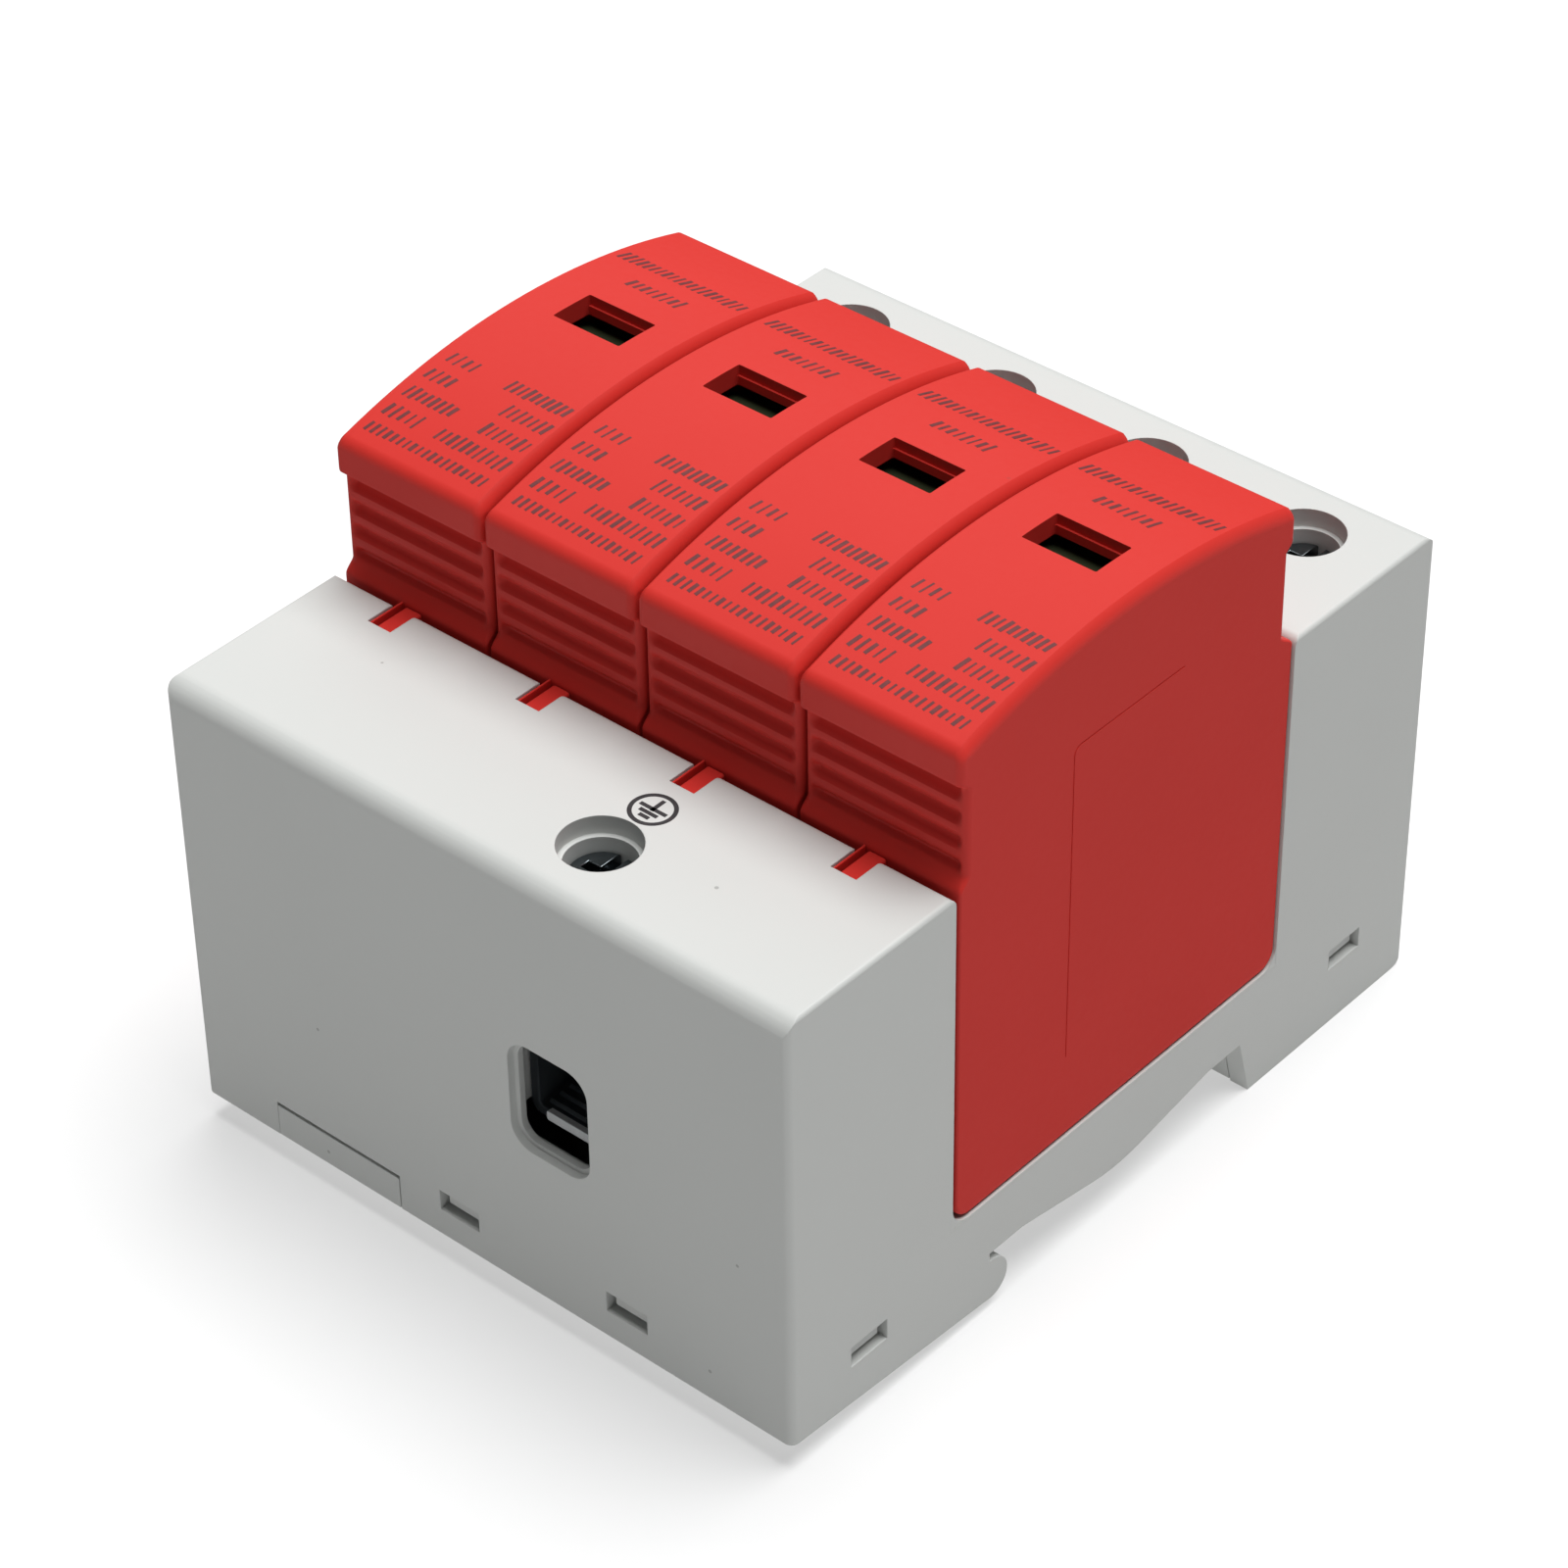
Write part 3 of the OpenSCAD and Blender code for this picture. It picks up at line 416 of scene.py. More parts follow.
class Bench:
    """Turns shapes and modifiers into plain meshes; the meshes that it is given are used up."""

    @staticmethod
    def mesh(name: str, shape: Shape, outward: bool = True) -> Mesh:
        """Turns a shape into a mesh.

        Args:
            name: The mesh's name.
            shape: The shape, which is used up.
            outward: Whether its faces are turned outwards.

        Returns:
            The mesh.
        """
        if outward:
            bmesh.ops.recalc_face_normals(shape, faces=shape.faces)
        mesh = bpy.data.meshes.new(name)
        shape.to_mesh(mesh)
        shape.free()
        return mesh

    @staticmethod
    def clear(held: bpy.types.Object) -> None:
        """Takes an object and its mesh off the bench."""
        waste = held.data
        bpy.data.objects.remove(held)
        bpy.data.meshes.remove(waste)

    @classmethod
    def settle(cls, held: bpy.types.Object) -> Mesh:
        """Applies an object's modifiers, takes it off the bench and returns its plain mesh."""
        bpy.context.view_layer.update()
        state = bpy.context.evaluated_depsgraph_get()
        mesh = bpy.data.meshes.new_from_object(held.evaluated_get(state), preserve_all_data_layers=True,
                                               depsgraph=state)
        cls.clear(held)
        return mesh

    @classmethod
    def run(cls, mesh: Mesh, kind: str, **settings: object) -> Mesh:
        """Applies one modifier.

        Args:
            mesh: The mesh.
            kind: The modifier's type name.
            settings: Properties to set on it.

        Returns:
            The changed mesh.
        """
        held = link("on_bench", mesh)
        step = held.modifiers.new("step", kind)
        for name, value in settings.items():
            setattr(step, name, value)
        return cls.settle(held)

    @classmethod
    def carve(cls, mesh: Mesh, *tools: Mesh) -> Mesh:
        """Cuts closed shapes out of a mesh.

        Args:
            mesh: The mesh.
            tools: The shapes to take away.

        Returns:
            The cut mesh.
        """
        held = link("on_bench", mesh)
        cutters = [link("cutter", tool) for tool in tools]
        for cutter in cutters:
            step = held.modifiers.new("cut", "BOOLEAN")
            step.operation = "DIFFERENCE"
            step.solver = "EXACT"
            step.object = cutter
        result = cls.settle(held)
        for cutter in cutters:
            cls.clear(cutter)
        return result

    @classmethod
    def soften(cls, mesh: Mesh, width: float, angle: float = math.radians(38)) -> Mesh:
        """Rounds a mesh's sharp edges.

        Args:
            mesh: The mesh.
            width: Width of the rounding.
            angle: The least angle that counts as sharp.

        Returns:
            The rounded mesh.
        """
        return cls.run(mesh, "BEVEL", width=width, segments=2, limit_method="ANGLE", angle_limit=angle,
                       use_clamp_overlap=True)

    @classmethod
    def shade(cls, mesh: Mesh, sharp: float = math.radians(22)) -> Mesh:
        """Gives a mesh smooth normals that keep its flat faces flat.

        Args:
            mesh: The mesh.
            sharp: Edges over this angle stay sharp.

        Returns:
            The shaded mesh.
        """
        shape = bmesh.new()
        shape.from_mesh(mesh)
        for face in shape.faces:
            face.smooth = True
        for edge in shape.edges:
            edge.smooth = len(edge.link_faces) == 2 and edge.calc_face_angle(0.0) < sharp
        shape.to_mesh(mesh)
        shape.free()
        return cls.run(mesh, "WEIGHTED_NORMAL", keep_sharp=True, weight=100)

    @classmethod
    def grow(cls, mesh: Mesh, rule: Tree, sizes: dict[str, object]) -> Mesh:
        """Runs a geometry rule on a mesh.

        Args:
            mesh: The mesh that the rule starts from.
            rule: The geometry tree.
            sizes: Values for the tree's named inputs.

        Returns:
            The grown mesh.
        """
        held = link("on_bench", mesh)
        step = held.modifiers.new("rule", "NODES")
        step.node_group = rule
        for item in rule.interface.items_tree:
            if item.item_type == "SOCKET" and item.in_out == "INPUT" and item.name in sizes:
                step[item.identifier] = sizes[item.name]
        return cls.settle(held)

    @classmethod
    def join(cls, name: str, *meshes: Mesh) -> Mesh:
        """Puts several meshes into one with a new name."""
        shape = bmesh.new()
        for mesh in meshes:
            shape.from_mesh(mesh)
            bpy.data.meshes.remove(mesh)
        return cls.mesh(name, shape, outward=False)

    @staticmethod
    def metres(mesh: Mesh) -> Mesh:
        """Turns a mesh drawn in millimetres into metres."""
        mesh.transform(Matrix.Scale(MM, 4))
        return mesh

    @staticmethod
    def dress(mesh: Mesh, finish: Material) -> Mesh:
        """Gives a whole mesh one finish."""
        mesh.materials.clear()
        mesh.materials.append(finish)
        return mesh

    @staticmethod
    def moved(mesh: Mesh, name: str, place: Point) -> Mesh:
        """Copies a mesh to a place under a new name; the mesh itself is kept."""
        copy = mesh.copy()
        copy.name = name
        copy.transform(Matrix.Translation(place))
        return copy


class Axis(Enum):
    """The way that an outline is drawn out."""

    X = "x"
    Y = "y"
    Z = "z"

    def place(self, a: float, b: float, c: float) -> Point:
        """Puts an outline's point (a, b) at the depth c along the axis."""
        if self is Axis.X:
            return (c, a, b)
        return (a, c, b) if self is Axis.Y else (a, b, c)


def prism(outline: Outline, axis: Axis, low: float, high: float) -> Mesh:
    """Draws an outline out to a closed solid.

    Args:
        outline: Its corners in order.
        axis: The way it is drawn out.
        low: Where it starts.
        high: Where it ends.

    Returns:
        The solid's mesh.
    """
    shape = bmesh.new()
    near = [shape.verts.new(axis.place(a, b, low)) for a, b in outline]
    far = [shape.verts.new(axis.place(a, b, high)) for a, b in outline]
    shape.faces.new(near)
    shape.faces.new(far[::-1])
    for k in range(len(outline)):
        nxt = (k + 1) % len(outline)
        shape.faces.new((near[k], far[k], far[nxt], near[nxt]))
    return Bench.mesh("prism", shape)


def lathe(profile: Outline, steps: int, closed: bool = False) -> Mesh:
    """Turns a profile of radius and height about Z into a solid.

    Args:
        profile: Radius and height from the lower to the upper end, away from the axis.
        steps: Number of sides.
        closed: Whether the profile is a loop, which makes a ring.

    Returns:
        The solid's mesh.
    """
    shape = bmesh.new()
    rings = []
    for radius, height in profile:
        turns = [2 * math.pi * k / steps for k in range(steps)]
        rings.append([shape.verts.new((radius * math.cos(a), radius * math.sin(a), height)) for a in turns])
    for lower, upper in zip(rings, rings[1:] + rings[:1] if closed else rings[1:]):
        for k in range(steps):
            nxt = (k + 1) % steps
            shape.faces.new((lower[k], lower[nxt], upper[nxt], upper[k]))
    if not closed:
        shape.faces.new(rings[0][::-1])
        shape.faces.new(rings[-1])
    return Bench.mesh("lathe", shape)


def rect(low: Pair, high: Pair) -> Outline:
    """Draws a rectangle between its lower and upper corners."""
    return [low, (high[0], low[1]), high, (low[0], high[1])]


def round_rect(low: Pair, high: Pair, radius: float, steps: int = 6) -> Outline:
    """Draws a rectangle with round corners.

    Args:
        low: Its lower corner.
        high: Its upper corner.
        radius: Radius of its corners.
        steps: Steps in each corner.

    Returns:
        The outline, against the clock.
    """
    centres = rect((low[0] + radius, low[1] + radius), (high[0] - radius, high[1] - radius))
    outline = []
    for quarter, (a, b) in enumerate(centres[2:] + centres[:2]):
        for k in range(steps + 1):
            turn = (quarter + k / steps) * QUARTER
            outline.append((a + radius * math.cos(turn), b + radius * math.sin(turn)))
    return outline


def smooth(share: float) -> float:
    """Eases a share from 0 to 1, held between them."""
    held = min(max(share, 0.0), 1.0)
    return held * held * (3 - 2 * held)


def between(a: float, b: float, share: float) -> float:
    """Finds the value that lies a share of the way from a to b."""
    return a + (b - a) * share


class Rules:
    """The geometry trees for what repeats or follows a path or a surface."""

    def __init__(self) -> None:
        """Builds each tree once."""
        self.coil = self.coil_spring()
        self.shank = self.threaded_shank()
        self.ribs = self.clamp_ribs()
        self.strokes = self.print_strokes()

    @staticmethod
    def start(name: str, inputs: dict[str, float | int]) -> tuple[Graph, Ends]:
        """Starts a geometry tree.

        Args:
            name: The tree's name.
            inputs: Default by input name, besides the shape and the finish; a whole number makes a count.

        Returns:
            The tree's graph and its inputs.
        """
        sockets = {"Shape": (GEOMETRY, None)}
        for label, value in inputs.items():
            sockets[label] = (COUNT if isinstance(value, int) else FLOAT, value)
        sockets["Finish"] = (MATERIAL, None)
        graph = new_group(name, "GeometryNodeTree", sockets, {"Shape": GEOMETRY})
        graph.tree.is_modifier = True
        return graph, graph.put("NodeGroupInput")

    @staticmethod
    def end(graph: Graph, ends: Ends, shape: Socket) -> Tree:
        """Realizes a tree's result and gives it its finish.

        Args:
            graph: The tree's graph.
            ends: Its inputs.
            shape: The result so far.

        Returns:
            The finished tree.
        """
        real = graph.put("GeometryNodeRealizeInstances", {"Geometry": shape})[0]
        done = graph.put("GeometryNodeSetMaterial", {"Geometry": real, "Material": ends["Finish"]})[0]
        return graph.end({"Shape": done})

    def coil_spring(self) -> Tree:
        """Builds a round-wire coil along +Y from the origin."""
        graph, ends = self.start("coil_spring", {
            "Radius": 0.001, "Wire": 0.0003, "Length": 0.01, "Turns": 7.0})
        spiral = graph.put("GeometryNodeCurveSpiral", {
            "Resolution": 28, "Rotations": ends["Turns"], "Start Radius": ends["Radius"],
            "End Radius": ends["Radius"], "Height": ends["Length"]})[0]
        wire = graph.put("GeometryNodeCurvePrimitiveCircle", {"Resolution": 10, "Radius": ends["Wire"]})[0]
        tube = graph.put("GeometryNodeCurveToMesh", {
            "Curve": spiral, "Profile Curve": wire, "Fill Caps": True})[0]
        turned = graph.put("GeometryNodeTransform", {"Geometry": tube, "Rotation": (-QUARTER, 0.0, 0.0)})[0]
        return self.end(graph, ends, turned)

    def threaded_shank(self) -> Tree:
        """Builds a rod about Z whose surface winds up in a thread."""
        graph, ends = self.start("threaded_shank", {
            "Radius": 0.0025, "Length": 0.01, "Pitch": 0.0008, "Depth": 0.0003, "Steps": 80})
        rod = graph.put("GeometryNodeMeshCylinder", {
            "Vertices": 28, "Side Segments": ends["Steps"], "Radius": ends["Radius"],
            "Depth": ends["Length"]})[0]
        x, y, z = graph.position()
        turn = graph.math("DIVIDE", graph.math("ARCTAN2", y, x), 2 * math.pi)
        climb = graph.math("SUBTRACT", graph.math("DIVIDE", z, ends["Pitch"]), turn)
        wave = graph.math("PINGPONG", climb, 0.5)
        depth = graph.math("MULTIPLY", graph.math("MULTIPLY", wave, 2.0), ends["Depth"])
        scale = graph.math("SUBTRACT", 1.0, graph.math("DIVIDE", depth, ends["Radius"]))
        moved = graph.xyz(graph.math("MULTIPLY", x, scale), graph.math("MULTIPLY", y, scale), z)
        wound = graph.put("GeometryNodeSetPosition", {"Geometry": rod, "Position": moved})[0]
        return self.end(graph, ends, wound)

    def clamp_ribs(self) -> Tree:
        """Adds a row of gripping ribs along X to a cage, spaced along Y."""
        graph, ends = self.start("clamp_ribs", {
            "Count": 6, "Pitch": 0.0012, "Length": 0.007, "Height": 0.0003, "Level": 0.022})
        span = graph.math("MULTIPLY", ends["Pitch"], graph.math("SUBTRACT", ends["Count"], 1.0))
        row = graph.put("GeometryNodeMeshLine", {
            "Count": ends["Count"], "Offset": graph.xyz(0.0, ends["Pitch"]),
            "Start Location": graph.xyz(0.0, graph.math("MULTIPLY", span, -0.5), ends["Level"])})[0]
        rib = graph.put("GeometryNodeMeshCylinder", {
            "Vertices": 4, "Radius": ends["Height"], "Depth": ends["Length"]})[0]
        ribs = graph.put("GeometryNodeInstanceOnPoints", {
            "Points": row, "Instance": rib, "Rotation": (0.0, QUARTER, 0.0)})[0]
        both = graph.put("GeometryNodeJoinGeometry", {0: [ends["Shape"], ribs]})[0]
        return self.end(graph, ends, both)

    def print_strokes(self) -> Tree:
        """Lays small strokes of ink on points and bends them onto a crown about X."""
        graph, ends = self.start("print_strokes", {
            "Width": 0.0002, "Height": 0.0015, "Ink": 0.00004, "Lean": 0.2, "Crown Radius": 0.07,
            "Crown Level": 0.0, "Seed": 3})
        size = graph.xyz(ends["Width"], ends["Height"], ends["Ink"])
        stroke = graph.put("GeometryNodeMeshCube", {"Size": size, "Vertices Y": 3})[0]
        chance = graph.put("FunctionNodeRandomValue", {
            0: (0.7, 0.72, 1.0), 1: (1.5, 1.0, 1.0), "Seed": ends["Seed"]}, data_type="FLOAT_VECTOR")[0]
        lean = graph.xyz(0.0, 0.0, graph.math("MULTIPLY", ends["Lean"], -1.0))
        laid = graph.put("GeometryNodeInstanceOnPoints", {
            "Points": ends["Shape"], "Instance": stroke, "Rotation": lean, "Scale": chance})[0]
        real = graph.put("GeometryNodeRealizeInstances", {"Geometry": laid})[0]
        x, y, z = graph.position()
        square = graph.math("MULTIPLY", ends["Crown Radius"], ends["Crown Radius"])
        rest = graph.math("SUBTRACT", square, graph.math("MULTIPLY", y, y))
        crown = graph.math("ADD", graph.math("SQRT", rest, 0.0), ends["Crown Level"])
        bent = graph.xyz(x, y, graph.math("ADD", crown, z))
        moved = graph.put("GeometryNodeSetPosition", {"Geometry": real, "Position": bent})[0]
        return self.end(graph, ends, moved)


@dataclass(frozen=True)
class Stretch:
    """The body that a springy piece reaches and the two ends of its reach, carried along but not applied."""

    mover: str
    leaves: Vector
    reaches: Vector


def new_piece(name: str, mesh: Mesh, body: str, slot: Slot, *replaced: str,
              stretch: Stretch | None = None) -> None:
    """Puts a finished mesh into the scene.

    Args:
        name: The piece's name.
        mesh: Its mesh, with its place in it.
        body: The body that it rides on.
        slot: The record's slot; not used.
        replaced: Solids that it stands for.
        stretch: For a spring, the ends that would reach another body; when it is given, the mesh is fixed
            where it stands and rides on no body.
    """
    piece = link(name, mesh)
    if stretch:
        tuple(stretch.leaves)
        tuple(stretch.reaches)
        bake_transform(piece)
    else:
        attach(piece, body)
    if replaced:
        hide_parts(*replaced)
    LOG.info("%s: %d faces on %s", name, len(mesh.polygons), body)


@dataclass(frozen=True)
class Studio:
    """Camera, floor and soft light."""

    azimuth: float = math.radians(41.471)
    elevation: float = math.radians(37.864)
    roll: float = math.radians(-0.871)
    distance: float = 463.67 * MM
    target: Point = (-6.561 * MM, 3.397 * MM, 25.0 * MM)
    sensor_mm: float = 36.0
    lens_mm: float = 114.28
    clip: float = 0.01
    floor_half: float = 3.0
    floor_shade: float = 0.45
    floor_glow: float = 0.45
    sun: float = 4.1
    sun_angle: float = math.radians(45)
    sun_way: Point = (-0.11, -0.19, -1.0)
    air: float = 0.04
    sheen_at: Point = (-0.5, 0.57, 0.62)
    sheen_size: float = 0.6
    sheen: float = 1.3
    fill_at: Point = (0.12, -0.75, 0.65)
    fill_size: float = 0.5
    fill: float = 0.3

    def camera(self) -> None:
        """Places the camera at the photograph's view."""
        level, rise = math.cos(self.elevation), math.sin(self.elevation)
        back = Vector((math.sin(self.azimuth) * level, -math.cos(self.azimuth) * level, rise))
        right = (-back).cross(Vector((0, 0, 1))).normalized()
        up = right.cross(-back)
        turned_right = right * math.cos(self.roll) + up * math.sin(self.roll)
        turned_up = up * math.cos(self.roll) - right * math.sin(self.roll)
        lens = bpy.data.cameras.new("photo_camera")
        lens.sensor_width = self.sensor_mm
        lens.lens = self.lens_mm
        lens.clip_start = self.clip
        eye = link("photo_camera", lens)
        axes = Matrix((turned_right, turned_up, back)).transposed().to_4x4()
        eye.matrix_world = Matrix.Translation(Vector(self.target) + back * self.distance) @ axes
        bpy.context.scene.camera = eye

    def floor(self) -> None:
        """Lays the pale floor."""
        half = self.floor_half
        mesh = bpy.data.meshes.new("studio_floor")
        mesh.from_pydata([(x, y, 0.0) for x, y in rect((-half, -half), (half, half))], [], [(0, 1, 2, 3)])
        material = bpy.data.materials.new("studio_floor")
        material.use_nodes = True
        Graph(material.node_tree).feed(material.node_tree.nodes["Principled BSDF"], {
            "Base Color": rgba((self.floor_shade,) * 3), "Emission Color": (1.0, 1.0, 1.0, 1.0),
            "Emission Strength": self.floor_glow, "Roughness": 0.9, "Specular IOR Level": 0.1})
        mesh.materials.append(material)
        floor = link("studio_floor", mesh)
        floor.visible_glossy = False

    @staticmethod
    def lamp(name: str, kind: str, place: Point, way: Vector, **settings: object) -> None:
        """Hangs a light.

        Args:
            name: The light's name.
            kind: Its type name.
            place: Where it hangs.
            way: Where it shines.
            settings: Properties to set on it.
        """
        light = bpy.data.lights.new(name, kind)
        for label, value in settings.items():
            setattr(light, label, value)
        board = link(name, light)
        board.location = place
        board.rotation_euler = way.to_track_quat("-Z", "Y").to_euler()

    def light(self) -> None:
        """Sets the broad light from above, the panels behind and in front, and the faint air."""
        self.lamp("ceiling_light", "SUN", (0.0, 0.0, 0.0), Vector(self.sun_way), energy=self.sun,
                  angle=self.sun_angle)
        self.lamp("sheen_panel", "AREA", self.sheen_at, -Vector(self.sheen_at), shape="SQUARE",
                  size=self.sheen_size, energy=self.sheen)
        self.lamp("fill_panel", "AREA", self.fill_at, -Vector(self.fill_at), shape="SQUARE",
                  size=self.fill_size, energy=self.fill)
        world = bpy.data.worlds.new("studio_air")
        world.use_nodes = True
        Graph(world.node_tree).feed(world.node_tree.nodes["Background"], {
            "Color": (1.0, 1.0, 1.0, 1.0), "Strength": self.air})
        bpy.context.scene.world = world

    def build(self) -> None:
        """Sets up the whole studio."""
        self.camera()
        self.floor()
        self.light()
        view = bpy.context.scene.view_settings
        view.view_transform = "Standard"
        view.look = "None"


@dataclass(frozen=True)
class EarthMark:
    """The printed earth sign on the front block, in millimetres: a ring with a stem and three bars."""

    centre: Point = (9.0, -30.95, 50.5)
    ring_r: float = 2.0
    line: float = 0.42
    ink: float = 0.015
    sink: float = 0.02
    segments: int = 64
    stem_top: float = 1.48
    bars: tuple[Pair, ...] = ((0.06, 1.48), (-0.56, 1.0), (-1.14, 0.56))

    def build(self, palette: Palette) -> None:
        """Builds the mark and puts it on the base.

        Args:
            palette: The finished materials.
        """
        half = self.line / 2
        section = rect((self.ring_r - half, -self.sink), (self.ring_r + half, self.ink))
        ring = lathe(section, self.segments, closed=True)
        lines = [rect((-half, -half), (half, self.stem_top))]
        lines += [rect((-reach, level - half), (reach, level + half)) for level, reach in self.bars]
        slabs = [prism(outline, Axis.Z, -self.sink, self.ink) for outline in lines]
        mark = Bench.join("earth_mark", ring, *slabs)
        mark.transform(Matrix.Translation(self.centre))
        new_piece("earth_mark", Bench.dress(Bench.metres(mark), palette.earth_ink), "base", Slot.HOUSING)


@dataclass(frozen=True)
class SkinPoint:
    """A point of the plug's side outline, with the way and the size of the rounding across it."""

    y: float
    z: float
    in_y: float
    in_z: float
    edge: float
    sweep: float = QUARTER

    def column(self, half_x: float, share: float) -> Pair:
        """Finds the side place and the inset of one step of the rounding.

        Args:
            half_x: Half the plug's width.
            share: 0 at the side face, 1 where the rounding ends.

        Returns:
            The place along X and the inset along the inward way.
        """
        arc = self.edge / math.sin(self.sweep)
        turn = share * self.sweep
        return half_x - arc * (1 - math.cos(turn)), arc * (math.sin(self.sweep) - math.sin(turn))


@dataclass(frozen=True)
class TabBar:
    """One bar of the coding tab: its section, that section's corners and the bar's eased edge."""

    low: Pair
    high: Pair
    radius: float
    steps: int
    edge: float


@dataclass(frozen=True)
class PlugShell:
    """A plug's red casing: crowned top with a crisp band, lip, waved grip, window and coding tab.

    Sizes are in millimetres and the plug stands at X 0.
    """

    half_x: float = 8.8
    half_y: float = 23.3
    low: float = 13.42
    top: float = 68.2
    crown_r: float = 76.0
    crown_t: float = 2.0
    wall: float = 1.3
    cave_y: float = 22.0
    cave_top: float = 50.0
    grip_in: float = 1.3
    lip_in: float = 0.45
    lip_z: float = 61.4
    lip_slope: float = 0.9
    shoulder_z: float = 51.5
    shoulder_h: float = 1.5
    end_r: float = 1.4
    band: float = 1.35
    band_sweep: float = math.radians(54)
    side_r: float = 0.7
    body_r: float = 0.3
    foot_edge: float = 0.25
    foot_r: float = 1.8
    front_gap: float = 0.5
    rear_reach: float = 0.1
    grooves: int = 4
    groove_pitch: float = 2.55
    groove_drop: float = 1.5
    groove_depth: float = 0.68
    groove_half: float = 1.02
    groove_end: float = 0.5
    groove_fade: float = 0.8
    grip_step: float = 0.21
    grip_over: float = 0.2
    lip_over: float = 0.1
    near: float = 0.3
    crest_drop: float = 0.8
    foot_rise: float = 1.0
    crown_steps: int = 14
    arc_steps: int = 7
    rings: int = 7
    flats: tuple[float, ...] = (0.985, 0.97, 0.95, 0.93, 0.91, 0.45, 0.0)
    window: Pair = (8.0, 4.9)
    window_at: Pair = (0.3, 2.75)
    window_r: float = 0.15
    window_step: float = 0.22
    window_depth: float = 1.25
    panel_low: Pair = (-7.9, 22.0)
    panel_high: Pair = (7.9, 56.7)
    panel_r: float = 1.0
    seam: float = 0.16
    seam_depth: float = 0.06
    bars: tuple[TabBar, ...] = (
        TabBar((-1.0, 47.2), (1.0, 50.0), 0.3, 4, 0.12),
        TabBar((-1.45, 47.2), (-0.5, 48.5), 0.1, 2, 0.05),
        TabBar((-1.5, 47.4), (-1.28, 50.35), 0.08, 2, 0.03),
    )
    tab_front: float = -27.0
    sink: float = 0.4
    cut_edge: float = 0.09
    cut_angle: float = math.radians(42)

    @property
    def crown_z(self) -> float:
        """Height of the crown's centre."""
        return self.top - self.crown_r

    def end_at(self, z: float, body_y: float) -> float:
        """Finds how far an end face reaches at a height, without its grooves.

        Args:
            z: The height.
            body_y: How far the body below the shoulder reaches.

        Returns:
            The reach in Y.
        """
        grip_y = self.half_y - self.grip_in
        if z > self.shoulder_z:
            lip_y = self.half_y - self.lip_in
            return between(grip_y, lip_y, smooth((z - self.lip_z + self.lip_slope) / self.lip_slope))
        return between(grip_y, body_y, smooth((self.shoulder_z - z) / self.shoulder_h))

    def groove_at(self, z: float) -> float:
        """Finds how deep the waves of the grip are at a height."""
        depth = 0.0
        for k in range(self.grooves):
            away = abs(z - (self.lip_z - self.groove_drop - k * self.groove_pitch))
            if away < self.groove_half:
                depth += 0.5 * self.groove_depth * (1 + math.cos(math.pi * away / self.groove_half))
        return depth

    def levels(self, high: float, low: float) -> list[float]:
        """Lists the heights at which an end face is drawn, from the top down."""
        heights = [high - self.crest_drop, self.lip_z + self.near]
        count = math.ceil((self.lip_z - self.shoulder_z + self.shoulder_h + self.grip_over) / self.grip_step)
        heights += [self.lip_z + self.lip_over - k * self.grip_step for k in range(count)]
        middle = 0.5 * (self.shoulder_z + low)
        return heights + [self.shoulder_z - self.shoulder_h - self.near, middle, low + self.foot_rise]

    def half_outline(self, body_y: float) -> list[SkinPoint]:
        """Draws one half of the side outline, from the crown's middle down to the bottom's.

        Args:
            body_y: How far the body below the shoulder reaches.

        Returns:
            The points, with Y towards the end.
        """
        foot = self.foot_r
        edge_y = self.half_y - self.lip_in - self.end_r
        edge_z = self.crown_z + math.sqrt((self.crown_r - self.end_r) ** 2 - edge_y ** 2)
        lean = math.atan2(edge_y, edge_z - self.crown_z)
        points = []
        for k in range(self.crown_steps):
            turn = lean * k / self.crown_steps
            y, z = math.sin(turn), math.cos(turn)
            points.append(SkinPoint(self.crown_r * y, self.crown_z + self.crown_r * z, -y, -z, self.band,
                                    self.band_sweep))
        shares = [k / self.arc_steps for k in range(self.arc_steps + 1)]
        for share in shares:
            turn = between(lean, QUARTER, share)
            y, z = math.sin(turn), math.cos(turn)
            points.append(SkinPoint(edge_y + self.end_r * y, edge_z + self.end_r * z, -y, -z,
                                    between(self.band, self.side_r, share),
                                    between(self.band_sweep, QUARTER, smooth(share))))
        for z in self.levels(edge_z, self.low + foot):
            edge = between(self.side_r, self.body_r, smooth((self.shoulder_z - z) / self.shoulder_h))
            points.append(SkinPoint(self.end_at(z, body_y), z, -1.0, 0.0, edge))
        for share in shares:
            y, z = math.cos(share * QUARTER), math.sin(share * QUARTER)
            points.append(SkinPoint(body_y - foot + foot * y, self.low + foot - foot * z, -y, z,
                                    between(self.body_r, self.foot_edge, smooth(share))))
        points.append(SkinPoint(0.0, self.low, 0.0, 1.0, self.foot_edge))
        return points

    def row(self, point: SkinPoint, side: int) -> list[Point]:
        """Draws the line across the plug through one point of its outline.

        Args:
            point: The outline's point.
            side: -1 at the front half, 1 at the rear.

        Returns:
            The line's points from -X to +X.
        """
        right = [point.column(self.half_x, k / self.rings) for k in range(self.rings + 1)]
        reach = right[-1][0]
        right += [(share * reach, 0.0) for share in self.flats]
        columns = [(-x, inset) for x, inset in right] + right[-2::-1]
        groove = self.groove_at(point.z) if point.in_z == 0.0 else 0.0
        line = []
        for x, inset in columns:
            cut = groove * smooth((self.half_x - self.groove_end - abs(x)) / self.groove_fade)
            line.append((x, side * (point.y + point.in_y * inset - cut), point.z + point.in_z * inset))
        return line

